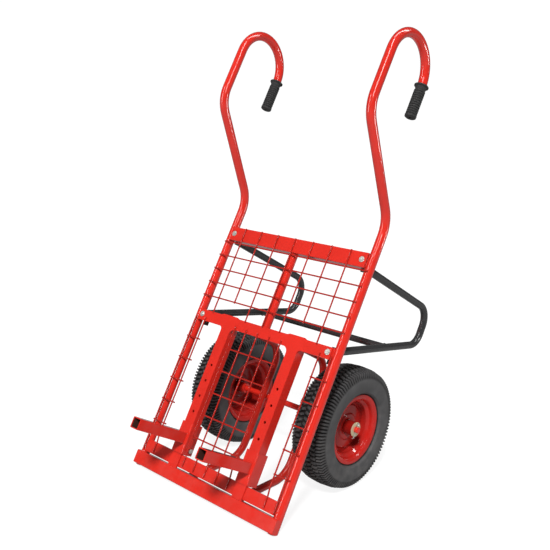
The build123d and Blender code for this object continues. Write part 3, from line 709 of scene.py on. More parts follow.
def rod_along_points(name, points, radii, closed=False, roundness=4):
    """Round rod along points, with a radius at each."""
    clear_selection()
    curve = bpy.data.curves.new(name, "CURVE")
    curve.dimensions = "3D"
    curve.bevel_depth = 1.0
    curve.bevel_resolution = roundness
    curve.use_fill_caps = True
    spline = curve.splines.new("POLY")
    spline.points.add(len(points) - 1)
    spline.use_cyclic_u = closed
    for knot, point, radius in zip(spline.points, points, radii):
        knot.co = (*point, 1.0)
        knot.radius = radius
    rod = bpy.data.objects.new(name, curve)
    bpy.context.scene.collection.objects.link(rod)
    pick(rod)
    bpy.ops.object.convert(target="MESH")
    return named(name)


def finish_piece(piece, body, slot, material, *nodes, crease):
    """Shades a piece, gives it its material, unless it has its own, and hands it to its body."""
    pick(piece)
    bpy.ops.object.shade_smooth_by_angle(angle=math.radians(crease))
    if material:
        cover(piece, material)
    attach(piece, body)
    if nodes:
        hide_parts(*nodes)


# Tyres


WHEEL_STEPS = 96  # round a tyre or a rim
CARCASS = (
    # shares of half width and of section height, from the bead to the middle
    (0.766, -0.03), (0.797, 0.03), (0.867, 0.062), (0.910, 0.088), (0.941, 0.094), (0.949, 0.128),
    (0.975, 0.24), (0.996, 0.36), (1.0, 0.43), (0.995, 0.53), (0.985, 0.585), (0.965, 0.635),
    (0.905, 0.755), (0.80, 0.845), (0.66, 0.888), (0.49, 0.918), (0.25, 0.936), (0.0, 0.945),
)
# Top and foot of the tread blocks in the same shares
LUG_CROWN = ((0.965, 0.628), (0.880, 0.886), (0.530, 0.970), (0.0, 1.0))
LUG_ROOT = ((0.91, 0.628), (0.75, 0.832), (0.48, 0.895), (0.0, 0.925))
LUG_TAPER = 0.84  # length of a block's top as a share of its foot
LUG_EDGE = 0.5 * MM
TREAD_ROWS = (
    # ends in shares of half width, skew in degrees, shift in shares of a block and blocks in a repeat
    (0.04, 0.29, 16.0, 0.0, 2),
    (0.34, 0.60, -16.0, 0.4, 2),
    (0.65, 0.965, 3.0, 0.0, 3),
)
SHOULDER_LUGS = TREAD_ROWS[-1][-1]
SIDE_SHIFT = {-1: 0.5, 1: 0.0}  # shares of a block by which each half of the tread is turned on


def tyre_point(across, height):
    """Point of the tyre's section from its shares of half width and section height."""
    return across * TYRE_HALF, FLANGE_RADIUS + height * (TYRE_RADIUS - FLANGE_RADIUS)


def tyre_carcass():
    """Tyre without its tread blocks, about the origin."""
    half = [tyre_point(*share) for share in CARCASS]
    far = [(-along, radius) for along, radius in reversed(half[:-1])]
    carcass = turned("carcass", half + far, WHEEL_STEPS)
    rounding = carcass.modifiers.new("round", "SUBSURF")
    rounding.levels = 1
    rounding.render_levels = 1
    apply_all(carcass)
    return carcass


def height_at(line, across):
    """Height of a line of shares at a share of the half width."""
    for (outer, low), (inner, high) in zip(line, line[1:]):
        if inner <= across <= outer:
            return low + (high - low) * (outer - across) / (outer - inner)
    return line[0][1]


def lug_edge(line, inner, outer):
    """Points of a line of shares between two shares of the half width, outer end first."""
    between = [share for share in line if inner < share[0] < outer]
    shares = [(outer, height_at(line, outer)), *between, (inner, height_at(line, inner))]
    return [tyre_point(*share) for share in shares]


def tread_block(inner, outer, length):
    """One tread block across a row, at the top of the tyre, shorter at its top and with broken edges."""
    crown = lug_edge(LUG_CROWN, inner, outer)
    root = lug_edge(LUG_ROOT, inner, min(outer, LUG_ROOT[0][0]))
    outline = [Vector((along, -length / 2, radius)) for along, radius in crown + root[::-1]]
    block = closed_line("block", outline)
    bpy.ops.mesh.edge_face_add()
    bpy.ops.mesh.extrude_region_move(TRANSFORM_OT_translate={"value": (0, length, 0)})
    tidy_normals()
    bpy.ops.mesh.select_all(action="DESELECT")
    bpy.ops.object.mode_set(mode="OBJECT")
    for vertex in block.data.vertices:
        spot = Vector((vertex.co.x, vertex.co.z))
        vertex.select = any((spot - Vector(point)).length < 2 * MERGE for point in crown)
    bpy.ops.object.mode_set(mode="EDIT")
    bpy.ops.transform.resize(value=(1, LUG_TAPER, 1), center_override=(0, 0, 0))
    bpy.ops.mesh.bevel(offset=LUG_EDGE, segments=1)
    bpy.ops.object.mode_set(mode="OBJECT")
    return block


def tread_repeat(settings):
    """All blocks of one repeat of the tread, at the top of the tyre."""
    blocks = []
    for inner, outer, skew, shift, count in TREAD_ROWS:
        pattern = tread_block(inner, outer, settings.lug_length * SHOULDER_LUGS / count)
        away = Matrix.Translation((-tyre_point((inner + outer) / 2, 0)[0], 0, 0))
        twist = away.inverted() @ Matrix.Rotation(math.radians(skew), 4, "Z") @ away
        pitch = 2 * math.pi / settings.repeats / count
        for side, step in itertools.product((-1, 1), range(count)):
            block = copy_of(pattern, "block")
            turn = Matrix.Rotation(pitch * (step + shift + SIDE_SHIFT[side]), 4, "X")
            set_down(block, turn @ flipped(side) @ twist)
            blocks.append(block)
        bpy.data.objects.remove(pattern)
    return joined(blocks, "tread")


def tread_ring(settings):
    """Tread blocks all round the tyre."""
    tread = tread_repeat(settings)
    clear_selection()
    bpy.ops.object.empty_add(location=(0, 0, 0))
    step = bpy.context.object
    step.rotation_euler.x = 2 * math.pi / settings.repeats
    array = tread.modifiers.new("ring", "ARRAY")
    array.count = settings.repeats
    array.use_relative_offset = False
    array.use_object_offset = True
    array.offset_object = step
    bpy.context.view_layer.update()
    apply_all(tread)
    bpy.data.objects.remove(step)
    return tread


class BARROW_OT_tyres(bpy.types.Operator):
    """Make both tyres with their block tread"""

    bl_idname = "barrow.tyres"
    bl_label = "Tyres"

    def execute(self, context):
        carcass = tyre_carcass()
        tread = tread_ring(context.scene.barrow_tyre)
        cover(carcass, tyre_rubber())
        cover(tread, tread_rubber())
        pattern = joined([carcass, tread], "tyre_pattern")
        deeper = Matrix.Translation((-TYRE_DEEPER / 2, 0, 0))
        for side, sign in SIDES:
            node = f"tyre_{side}"
            tyre = copy_of(pattern, f"treaded_tyre_{side}")
            set_down(tyre, facing(ACROSS, ALONG, centre(node)) @ flipped(sign) @ deeper)
            finish_piece(tyre, f"wheel_{side}", "tyre", None, node, crease=40)
        bpy.data.objects.remove(pattern)
        return {"FINISHED"}


# Rims and valves


# Millimetres from the middle of the solid and from the axle, from the outer flange to the well
RIM_AIR_SIDE = ((37.4, 115.3), (36.4, 107.0), (33.8, 101.2), (29.1, 98.5), (20.5, 96.0), (13.5, 86.0))
RIM_TYRE_SIDE = ((34.5, 115.3), (33.5, 107.5), (31.5, 102.5), (28.0, 100.4), (19.0, 99.0), (12.0, 89.0))
DISC_SECTION = (
    # front of the disc from the rim to the hub, then its back
    (-5.0, 86.2), (-5.0, 75.0), (0.0, 70.0), (0.0, 45.0), (4.0, 41.0), (4.0, 33.0), (1.0, 23.2),
    (-2.0, 23.2), (1.0, 33.0), (1.0, 41.0), (-3.0, 45.0), (-3.0, 70.0), (-8.0, 75.0), (-8.0, 86.2),
)
VALVE_SECTION = (
    # millimetres along the valve from its foot, and radius
    (0.0, 0.3), (0.0, 3.9), (9.0, 3.9), (10.0, 3.4), (12.0, 3.4),
    (12.6, 3.9), (22.0, 3.9), (23.6, 2.8), (23.6, 0.3),
)


def from_flange_to_flange(half):
    """Line across the rim from its outer half, with a mirror image that lies as deep as the tyre."""
    return [*half, *((-along - TYRE_DEEPER / MM, radius) for along, radius in reversed(half))]


class BARROW_OT_rims(bpy.types.Operator):
    """Make both rolled rims with their pressed discs"""

    bl_idname = "barrow.rims"
    bl_label = "Rims"

    def execute(self, context):
        rolled = from_flange_to_flange(RIM_AIR_SIDE) + from_flange_to_flange(RIM_TYRE_SIDE)[::-1]
        sheet = turned("sheet", rounded_section(rolled, radius=3.0), WHEEL_STEPS)
        disc = turned("disc", rounded_section(DISC_SECTION, radius=4.0), WHEEL_STEPS)
        pattern = joined([sheet, disc], "rim_pattern")
        for side, sign in SIDES:
            nodes = (f"rim_{side}", f"wheel_disc_{side}")
            rim = copy_of(pattern, f"pressed_rim_{side}")
            set_down(rim, Matrix.Translation(centre(nodes[0])) @ flipped(sign))
            finish_piece(rim, f"wheel_{side}", "rim_paint", rim_enamel(), *nodes, crease=50)
        bpy.data.objects.remove(pattern)
        return {"FINISHED"}


class BARROW_OT_valves(bpy.types.Operator):
    """Make both tyre valves with their caps"""

    bl_idname = "barrow.valves"
    bl_label = "Valves"

    def execute(self, context):
        pattern = turned("valve_pattern", rounded_section(VALVE_SECTION, radius=0.6, steps=2), steps=24)
        for side, _ in SIDES:
            node = f"valve_{side}"
            foot = place(middle(node, ACROSS), middle(node, ALONG), span(node, FORWARD)[1])
            valve = copy_of(pattern, f"capped_valve_{side}")
            set_down(valve, facing(-FORWARD, ALONG, foot))
            finish_piece(valve, f"wheel_{side}", "inner_tube", grip_rubber(), node, crease=40)
        bpy.data.objects.remove(pattern)
        return {"FINISHED"}


# Hand grips, in millimetres


GRIP_RADIUS = 18.0  # over the ribs
GRIP_VENT = 4.5  # radius of the hole in the closed end
GRIP_END = ((0.0, GRIP_VENT), (0.0, 15.5), (2.0, 18.2), (8.0, 18.8))
GRIP_WALL = 4.0  # thickness of the closed end
GRIP_SLACK = 0.05  # between the grip's bore and its tube
RIBS_START = 11.0
RIBS_FREE = 22.0  # part of the grip's length that has no ribs
RIB_SHARES = ((0.18, 0), (0.62, 0), (0.82, 1))  # of the pitch along a rib, and of the depth


def grip_section(settings, length, collar):
    """Section of a ribbed grip in millimetres, from its closed end to its collar."""
    pitch = settings.rib_pitch / MM
    depth = settings.rib_depth / MM
    bore = RAIL_RADIUS / MM + GRIP_SLACK
    section = [*GRIP_END, (RIBS_START - 1.0, GRIP_RADIUS - depth)]
    for rib in range(int((length - RIBS_FREE) / pitch)):
        start = RIBS_START + rib * pitch
        section += [(start + along * pitch, GRIP_RADIUS - share * depth) for along, share in RIB_SHARES]
    return section + [
        (length - 9.0, GRIP_RADIUS), (length - 6.5, GRIP_RADIUS + 0.6), (length - 5.0, collar - 1.0),
        (length - 3.8, collar), (length - 1.2, collar), (length, collar - 1.2),
        (length, bore), (GRIP_WALL, bore), (GRIP_WALL, GRIP_VENT),
    ]


class BARROW_OT_grips(bpy.types.Operator):
    """Make both ribbed hand grips"""

    bl_idname = "barrow.grips"
    bl_label = "Hand grips"

    def execute(self, context):
        node = "hand_grip_right"
        collar = size(node, ACROSS) / 2 / MM
        section = grip_section(context.scene.barrow_grip, size(node, ALONG) / MM, collar)
        moulding = [(along * MM, radius * MM) for along, radius in section]
        pattern = turned("grip_pattern", moulding, steps=48)
        for side, _ in SIDES:
            node = f"hand_grip_{side}"
            tip = place(middle(node, ACROSS), span(node, ALONG)[0], middle(node, FORWARD))
            grip = copy_of(pattern, f"ribbed_grip_{side}")
            set_down(grip, facing(ALONG, FORWARD, tip))
            finish_piece(grip, "frame", "grip_rubber", grip_rubber(), node, crease=28)
        bpy.data.objects.remove(pattern)
        return {"FINISHED"}


# Bolts, nuts and screws, in millimetres


FLATS = 13.0  # width across the flats of bolts, nuts and screws
CHAMFER = 0.09  # of a hexagon's outer end, as a share of its flats
CUP_RIM = 0.16  # round a hexagon's cup, as a share of its flats
SHANK = 4.0  # radius of bolts and screws
SHANK_CORE = 0.2  # radius that a turned shank leaves open
BOLT_HEAD = 5.5
BOLT_TIP = 0.8
BOLT_WASHER = 1.6
WASHER_RADIUS = 9.5
WASHER_BORE = SHANK - 0.2
BOLT_CARRIERS = {"upper": "top_crossbar", "lower": "fork_carrier"}
BOLT_TURN = {"upper": 37.0, "lower": 17.0}  # degrees by which the heads of a row are turned
SIDE_TURN = 31.0  # degrees more on the right and less on the left
NUT_HEIGHT = 5.1
COLLAR_FOOT = NUT_HEIGHT - 1.2
COLLAR_TOP = NUT_HEIGHT + 1.4
COLLAR_SECTION = ((COLLAR_FOOT, 4.1), (COLLAR_FOOT, 5.7), (COLLAR_TOP, 5.4), (COLLAR_TOP, 4.1))
SCREW_HEAD = 6.0
SCREW_LAP = 0.5  # of the shank into the head
SCREW_TIP = 1.0


def hexagon(name, thickness, cup):
    """Hexagon along X from 0, with chamfered corners at its outer end and a shallow cup in it."""
    flats = FLATS * MM
    height = thickness * MM
    clear_selection()
    bpy.ops.mesh.primitive_cylinder_add(
        vertices=6, radius=flats / math.sqrt(3), depth=height, location=(0, 0, height / 2)
    )
    head = named(name)
    for face in head.data.polygons:
        face.select = face.normal.z > 0.5
    bpy.ops.object.mode_set(mode="EDIT")
    bpy.ops.mesh.select_mode(type="FACE")
    bpy.ops.mesh.bevel(offset=CHAMFER * flats, segments=2)
    bpy.ops.mesh.inset(thickness=CUP_RIM * flats)
    bpy.ops.transform.translate(value=(0, 0, -cup * MM))
    bpy.ops.object.mode_set(mode="OBJECT")
    set_down(head, Matrix.Rotation(math.pi / 2, 4, "Y"))
    return head


def shank(start, length, tip, rounding):
    """Shank along X from its start back to its chamfered tip."""
    profile = ((start, SHANK), (tip - length, SHANK), (-length, SHANK - tip))
    section = [(start, SHANK_CORE), *profile, (-length, SHANK_CORE)]
    return turned("shank", rounded_section(section, rounding, steps=2), steps=24)


def ring(name, thickness, bore, radius, rounding, corner_steps, steps):
    """Flat ring along X from 0."""
    section = ((0, bore), (0, radius), (thickness, radius), (thickness, bore))
    return turned(name, rounded_section(section, rounding, corner_steps), steps)


def bolt_pattern(length):
    """Bolt along X with its washer seat at 0, its head outwards and its shank inwards."""
    washer = ring(
        "washer", BOLT_WASHER, WASHER_BORE, WASHER_RADIUS, rounding=0.4, corner_steps=2, steps=40,
    )
    stem = shank(BOLT_WASHER, length, BOLT_TIP, rounding=0.2)
    head = hexagon("head", BOLT_HEAD, cup=0.5)
    set_down(head, Matrix.Translation((BOLT_WASHER * MM, 0, 0)))
    return joined([washer, stem, head], "bolt_pattern")


def nut_pattern():
    """Lock nut along X with a rounded collar at its outer end."""
    body = hexagon("nut", NUT_HEIGHT, cup=0.0)
    collar = turned("collar", rounded_section(COLLAR_SECTION, radius=0.6, steps=2), steps=32)
    return joined([body, collar], "nut_pattern")


class BARROW_OT_leg_bolts(bpy.types.Operator):
    """Make the bolts and nuts that hold the rest legs"""

    bl_idname = "barrow.leg_bolts"
    bl_label = "Leg bolts"

    def execute(self, context):
        fronts = {row: span(carrier, FORWARD)[1] for row, carrier in BOLT_CARRIERS.items()}
        bolts = {}
        for row, front in fronts.items():
            bolts[row] = bolt_pattern((front - span(f"leg_bolt_{row}_right", FORWARD)[0]) / MM)
        nut = nut_pattern()
        for (side, sign), row in itertools.product(SIDES, fronts):
            across = middle(f"leg_bolt_{row}_{side}", ACROSS)
            along = middle(f"leg_bolt_{row}_{side}", ALONG)
            seat = span(f"leg_nut_{row}_{side}", FORWARD)[1]
            turn = Matrix.Rotation(math.radians(BOLT_TURN[row] + SIDE_TURN * sign), 4, "X")
            ends = (("bolt", bolts[row], FORWARD, fronts[row]), ("nut", nut, -FORWARD, seat))
            for kind, pattern, way, reach in ends:
                piece = copy_of(pattern, f"zinc_{kind}_{row}_{side}")
                set_down(piece, facing(way, ALONG, place(across, along, reach)) @ turn)
                finish_piece(piece, "frame", "zinc", zinc_plate(), f"leg_{kind}_{row}_{side}", crease=35)
        for pattern in (*bolts.values(), nut):
            bpy.data.objects.remove(pattern)
        return {"FINISHED"}


class BARROW_OT_lock_screws(bpy.types.Operator):
    """Make the lock screws of the forks"""

    bl_idname = "barrow.lock_screws"
    bl_label = "Lock screws"

    def execute(self, context):
        for side, sign in SIDES:
            node = f"lock_screw_{side}"
            low, high = span(node, ACROSS)
            stem = shank(SCREW_LAP, (high - low) / MM - SCREW_HEAD, SCREW_TIP, rounding=0.3)
            screw = joined([stem, hexagon("top", SCREW_HEAD, cup=0.6)], f"hex_screw_{side}")
            neck = (low if sign > 0 else high) + sign * SCREW_HEAD * MM
            seat = place(neck, middle(node, ALONG), middle(node, FORWARD))
            set_down(screw, facing(ACROSS * -sign, ALONG, seat))
            finish_piece(screw, f"lock_screw_{side}", "zinc", zinc_plate(), node, crease=35)
        return {"FINISHED"}


# Axle washers and split pins


WASHER_SLACK = 0.1  # millimetres between an axle washer and the axle
PIN_WIRE = 0.95 * MM  # radius of a leg
PIN_EYE = 5.0 * MM  # radius of the eye
PIN_EYE_TOP = 2.0 * MM  # from the solid's upper end to the eye
PIN_NECK = 12.5 * MM  # from the solid's upper end to the legs' straight run
PIN_BEND = 7.0 * MM  # radius of the legs' bend at the lower end
PIN_EYE_TURN = 200.0  # degrees
PIN_LEGS = ((-1, 37.5), (1, 75.0))  # side of each leg, and degrees by which it is bent


def split_pin_rods(node):
    """Both legs and the eye of a split pin, as one bent rod for each leg."""
    across, forward = middle(node, ACROSS), middle(node, FORWARD)
    low, high = span(node, ALONG)
    eye = high - PIN_EYE_TOP - PIN_EYE
    bend = low + PIN_BEND
    rods = []
    for leg, bent in PIN_LEGS:
        line = [
            (PIN_EYE * math.sin(turn), eye - PIN_EYE * math.cos(turn))
            for turn in arc(PIN_EYE_TURN, steps=8)
        ]
        line.append((PIN_WIRE, high - PIN_NECK))
        for turn in arc(bent, steps=5):
            line.append((PIN_WIRE + PIN_BEND * (1 - math.cos(turn)), bend - PIN_BEND * math.sin(turn)))
        path = [place(across, along, forward + leg * aside) for aside, along in line]
        rods.append(rod_along_points(f"{node}_leg", path, [PIN_WIRE] * len(path)))
    return rods


class BARROW_OT_axle_ends(bpy.types.Operator):
    """Make the axle washers and split pins"""

    bl_idname = "barrow.axle_ends"
    bl_label = "Axle ends"

    def execute(self, context):
        thickness = size("axle_washer_right", ACROSS) / MM
        radius = size("axle_washer_right", UP) / 2 / MM
        bore = AXLE_RADIUS / MM + WASHER_SLACK
        pattern = ring("washer_pattern", thickness, bore, radius, rounding=0.7, corner_steps=3, steps=64)
        for side, sign in SIDES:
            node = f"axle_washer_{side}"
            seat = centre(node) - ACROSS * sign * thickness * MM / 2
            washer = copy_of(pattern, f"plated_washer_{side}")
            set_down(washer, facing(ACROSS * sign, UP, seat))
            finish_piece(washer, "frame", "zinc", yellow_zinc_plate(), node, crease=40)
            node = f"split_pin_{side}"
            pin = joined(split_pin_rods(node), f"bent_pin_{side}")
            finish_piece(pin, "frame", "zinc", zinc_plate(), node, crease=50)
        bpy.data.objects.remove(pattern)
        return {"FINISHED"}


# Tine linings


TINE_WALL = 3.0 * MM
LINING_FILM = 0.15 * MM
LINING_BACK = 2.5 * MM  # how far the lining ends behind the tine's mouth


class BARROW_OT_tine_linings(bpy.types.Operator):
    """Make dark linings inside the open tines as painted shade"""

    bl_idname = "barrow.tine_linings"
    bl_label = "Tine linings"

    def execute(self, context):
        for side, _ in SIDES:
            node = f"fork_tine_{side}"
            root, tip = span(node, FORWARD)
            length = tip - root - LINING_BACK
            bore = size(node, ACROSS) - 2 * TINE_WALL
            clear_selection()
            bpy.ops.mesh.primitive_cube_add(size=1, location=(0, 0, 0))
            lining = named(f"tine_lining_{side}")
            lining.scale = (length, bore, bore)
            for face in lining.data.polygons:
                face.select = face.normal.x > 0.5
            bpy.ops.object.mode_set(mode="EDIT")
            bpy.ops.mesh.select_mode(type="FACE")
            bpy.ops.mesh.delete(type="FACE")
            bpy.ops.object.mode_set(mode="OBJECT")
            bpy.ops.object.transform_apply(location=False, rotation=False, scale=True)
            lining.modifiers.new("shell", "SOLIDIFY").thickness = LINING_FILM
            apply_all(lining)
            middle_point = place(middle(node, ACROSS), middle(node, ALONG), root + length / 2)
            set_down(lining, facing(FORWARD, ALONG, middle_point))
            finish_piece(lining, f"fork_{side}", "red_paint", bare_inside(), crease=30)
        return {"FINISHED"}


# Welds


RIPPLE_LOW = 0.84  # radius between two ripples, as a share of the bead's
BEAD_END = 0.45  # radius at the ends of an open bead, as a share of the bead's
RAIL_BEHIND_BAND = 12.5 * MM  # from the middle of the bottom band to the axis of a rail
CARRIER_BAR = 34.0 * MM  # height of the carrier's bar
BAR_CORNER = 4.0 * MM  # bare at each end of a bar's bead
BRACKET_BEAD = 9.0 * MM  # half of a bead along the axle
BRACKET_BEAD_UP = 0.72 * AXLE_RADIUS  # from the axle's line along the frame
BRACKET_BEAD_FORE = 0.74 * AXLE_RADIUS  # and forward of it
LEG_BEAD_IN = 2.5 * MM  # from the end of the leg crossbar
TINE_BEAD = (
    # shares of half the tine's width and height round its root
    (-1, -0.8), (-1, 0.8), (-0.8, 1), (0.8, 1), (1, 0.8), (1, -0.8), (0.8, -1), (-0.8, -1),
)


def weld_bead(points, settings, closed=False):
    """Rippled weld bead along a line of points."""
    runs = list(zip(points, points[1:] + points[:1] if closed else points[1:]))
    path = []
    for start, end in runs:
        steps = max(1, round((end - start).length / (settings.ripple / 2)))
        path += [start.lerp(end, step / steps) for step in range(steps)]
    if not closed:
        path.append(points[-1])
    radii = [settings.bead * (1.0 if index % 2 else RIPPLE_LOW) for index in range(len(path))]
    if not closed:
        radii[0] = radii[-1] = BEAD_END * settings.bead
    return rod_along_points("bead", path, radii, closed, roundness=2)


def ring_bead(origin, first, second, radius, settings):
    """Weld bead round a tube, in the plane of two directions."""
    points = [
        origin + (first * math.cos(turn) + second * math.sin(turn)) * radius
        for turn in arc(360.0, steps=24)[:-1]
    ]
    return weld_bead(points, settings, True)


def bar_end_beads(settings):
    """Beads where the crossbars, the plate and the band meet the rails."""
    beads = []
    rail_across = middle("side_rail_right", ACROSS)
    rail_forward = middle("bottom_band", FORWARD) - RAIL_BEHIND_BAND
    for node in ("top_crossbar", "fork_carrier", "bottom_band", "middle_crossbar"):
        reach = span(node, ACROSS)[1]
        low, high = span(node, ALONG)
        if node == "fork_carrier":
            low = high - CARRIER_BAR
        rise = math.sqrt(max(RAIL_RADIUS ** 2 - (rail_across - reach) ** 2, 0.0))
        fronts = [rail_forward + rise]
        if node.endswith("crossbar"):
            fronts.append(span(node, FORWARD)[0])
        for (_, sign), forward in itertools.product(SIDES, fronts):
            start = place(sign * reach, low + BAR_CORNER, forward)
            end = place(sign * reach, high - BAR_CORNER, forward)
            beads.append(weld_bead([start, end], settings))
    return beads


def stay_beads(settings):
    """Beads round both ends of the centre stay."""
    across, forward = middle("centre_stay", ACROSS), middle("centre_stay", FORWARD)
    radius = size("centre_stay", ACROSS) / 2
    ends = [place(across, along, forward) for along in span("centre_stay", ALONG)]
    return [ring_bead(end, ACROSS, FORWARD, radius, settings) for end in ends]


def bracket_beads(settings):
    """Beads where the axle brackets meet the middle crossbar and the axle."""
    beads = []
    back = span("middle_crossbar", FORWARD)[0]
    along = middle("middle_crossbar", ALONG)
    axle = centre("axle")
    for side, _ in SIDES:
        node = f"axle_bracket_{side}"
        across = middle(node, ACROSS)
        end = place(across, along, back)
        beads.append(ring_bead(end, ACROSS, ALONG, size(node, ACROSS) / 2, settings))
        for face in (-1, 1):
            seam = Vector((across, axle.y, axle.z)) + place(0, face * BRACKET_BEAD_UP, BRACKET_BEAD_FORE)
            half = ACROSS * BRACKET_BEAD
            beads.append(weld_bead([seam - half, seam + half], settings))
    return beads


def tine_bead(node, settings):
    """Bead round the root of a tine."""
    across, along = middle(node, ACROSS), middle(node, ALONG)
    width, height = size(node, ACROSS) / 2, size(node, ALONG) / 2
    root = span(node, FORWARD)[0]
    corners = [place(across + aside * width, along + rise * height, root) for aside, rise in TINE_BEAD]
    return weld_bead(corners, settings, True)


def leg_beads(settings):
    """Beads at both ends of the leg crossbar."""
    along, forward = middle("leg_crossbar", ALONG), middle("leg_crossbar", FORWARD)
    radius = size("leg_crossbar", ALONG) / 2
    ends = [reach - math.copysign(LEG_BEAD_IN, reach) for reach in span("leg_crossbar", ACROSS)]
    return [ring_bead(place(end, along, forward), ALONG, FORWARD, radius, settings) for end in ends]


class BARROW_OT_welds(bpy.types.Operator):
    """Make the weld beads of the frame, the forks and the legs"""

    bl_idname = "barrow.welds"
    bl_label = "Welds"

    def execute(self, context):
        settings = context.scene.barrow_weld
        frame_beads = bar_end_beads(settings) + stay_beads(settings) + bracket_beads(settings)
        frame_weld = joined(frame_beads, "frame_welds")
        finish_piece(frame_weld, "frame", "red_paint", frame_enamel(), crease=60)
        leg_weld = joined(leg_beads(settings), "leg_welds")
        finish_piece(leg_weld, "frame", "black_paint", leg_coat(), crease=60)
        for side, _ in SIDES:
            weld = tine_bead(f"fork_tine_{side}", settings)
            weld.name = f"tine_weld_{side}"
            finish_piece(weld, f"fork_{side}", "red_paint", frame_enamel(), crease=60)
        return {"FINISHED"}


# Paint on the CAD nodes


SLOT_FINISHES = {
    "red_paint": frame_enamel,
    "rim_paint": rim_enamel,
    "black_paint": leg_coat,
    "tyre": tyre_rubber,
    "inner_tube": tyre_rubber,
    "grip_rubber": grip_rubber,
    "zinc": zinc_plate,
    "bush": nylon,
}
# Nodes with these words in their names have a finish of their own: darker copies of the reds, as painted shade
NODE_FINISHES = {
    "mesh": wire_enamel,
    "axle_bracket": bracket_enamel,
    "hub_left": hub_enamel,
    "hub_right": hub_enamel,
}


class BARROW_OT_paint(bpy.types.Operator):
    """Give every CAD node its finish"""

    bl_idname = "barrow.paint"
    bl_label = "Paint"

    def execute(self, context):
        slots = {part["node"]: part["material_slot"] for part in frame["record"]["subparts"]}
        for name, node in NODES.items():
            if slots.get(name) not in SLOT_FINISHES:
                raise ValueError(f"no finish for node {name}")
            own = [finish for word, finish in NODE_FINISHES.items() if word in name]
            finish = own[0] if own else SLOT_FINISHES[slots[name]]
            cover(node, finish())
        return {"FINISHED"}


# Stage


WHITE = (1, 1, 1, 1)
FLOOR_GLOW = 0.87
FLOOR_MIRRORED = 0.06  # the floor's glow as a reflection in paint and metal
WALL_AWAY = 0.48  # share of the floor's width
# Name, place, aim, width and length in metres, and power in watts
FRONT_LIGHT = ("front", (0.9, -1.7, 2.1), (0.1, 0.1, 1.1), 0.8, 0.8, 10.0)
STRIP_LIGHTS = (
    ("rail_line", (-1.0, -2.6, 1.9), (0, 0, 0.6), 0.2, 2.6, 26.0),
    ("crook_line", (1.8, 1.1, 1.05), (0.3, 0.28, 1.2), 0.12, 0.6, 7.0),
    ("rim_line", (1.0, -1.0, 2.9), (0.27, 0.09, 0.2), 0.3, 2.0, 26.0),
    ("leg_line", (0.8, 1.0, 3.0), (0.28, 0.35, 0.6), 0.2, 3.0, 20.0),
)


def floor_material():
    """Plain pale floor, faintly uneven, and dimmer as a reflection."""
    material, tree, shader, vector = new_material("studio_floor")
    film = use_group(
        tree, coat_film, vector,
        Color=(0.15, 0.15, 0.15, 1), Shade=(0.145, 0.145, 0.145, 1), Cloud_Scale=2.0,
    )
    mirrored = tree.nodes.new("ShaderNodeLightPath").outputs["Is Glossy Ray"]
    feed(
        tree, shader,
        Base_Color=film["Color"],
        Roughness=0.9,
        Specular_IOR_Level=0.1,
        Emission_Color=WHITE,
        Emission_Strength=remap(tree, mirrored, 0.0, 1.0, FLOOR_GLOW, FLOOR_MIRRORED),
    )
    return material


def wall_material():
    """White wall that glows evenly."""
    material, tree, shader, _ = new_material("studio_wall")
    feed(
        tree, shader,
        Base_Color=(0.02, 0.02, 0.02, 1),
        Specular_IOR_Level=0.0,
        Emission_Color=WHITE,
        Emission_Strength=1.0,
    )
    return material


def studio_plane(name, width, material):
    """Large plane of the stage, lying flat at the origin."""
    clear_selection()
    bpy.ops.mesh.primitive_plane_add(size=width, location=(0, 0, 0))
    plane = named(name)
    cover(plane, material)
    return plane


def studio_air(even, mirrored, seen):
    """White light from all round, which is darker in reflections and pale to the camera."""
    world = bpy.data.worlds.new("studio")
    world.use_nodes = True
    tree = world.node_tree
    ray = tree.nodes.new("ShaderNodeLightPath")
    light = tree.nodes["Background"]
    feed(tree, light, Color=WHITE, Strength=even)
    for kind, strength in (("Is Glossy Ray", mirrored), ("Is Camera Ray", seen)):
        other = tree.nodes.new("ShaderNodeBackground")
        feed(tree, other, Color=WHITE, Strength=strength)
        choice = tree.nodes.new("ShaderNodeMixShader")
        for value, socket in zip((ray.outputs[kind], light.outputs[0], other.outputs[0]), choice.inputs):
            connect(tree, value, socket)
        light = choice
    feed(tree, tree.nodes["World Output"], Surface=light.outputs[0])
    return world


def hang(data, location, axes):
    """Light or camera in the scene, as part of the stage."""
    item = bpy.data.objects.new(data.name, data)
    item.matrix_world = Matrix.Translation(location) @ axes.to_4x4()
    bpy.context.scene.collection.objects.link(item)
    return item


def panel_light(name, location, target, width, height, power):
    """Rectangular light aimed at a point."""
    data = bpy.data.lights.new(name, "AREA")
    data.shape = "RECTANGLE"
    data.size = width
    data.size_y = height
    data.energy = power
    aim = Vector(target) - Vector(location)
    return hang(data, location, aim.to_track_quat("-Z", "Y").to_matrix())


def strip_light(*panel):
    """Narrow light that is seen only as a line in glossy paint and metal."""
    panel_light(*panel).visible_diffuse = False


def soft_light(*panel):
    """Light that lifts the shaded sides and leaves no line in glossy paint."""
    panel_light(*panel).visible_glossy = False


def daylight(name, direction, strength, spread):
    """Even light from a direction, which leaves no round spot in glossy paint."""
    data = bpy.data.lights.new(name, "SUN")
    data.energy = strength
    data.angle = math.radians(spread)
    sun = hang(data, (0, 0, 0), Vector(direction).to_track_quat("Z", "Y").to_matrix())
    sun.visible_glossy = False


def backdrop(settings):
    """Bright white wall far behind the barrow, square to the camera."""
    away = Vector((-math.sin(settings.yaw), math.cos(settings.yaw), 0))
    wall = studio_plane("studio_wall", 3 * settings.floor, wall_material())
    wall.matrix_world = facing(UP, -away, away * WALL_AWAY * settings.floor)
    wall.visible_glossy = False


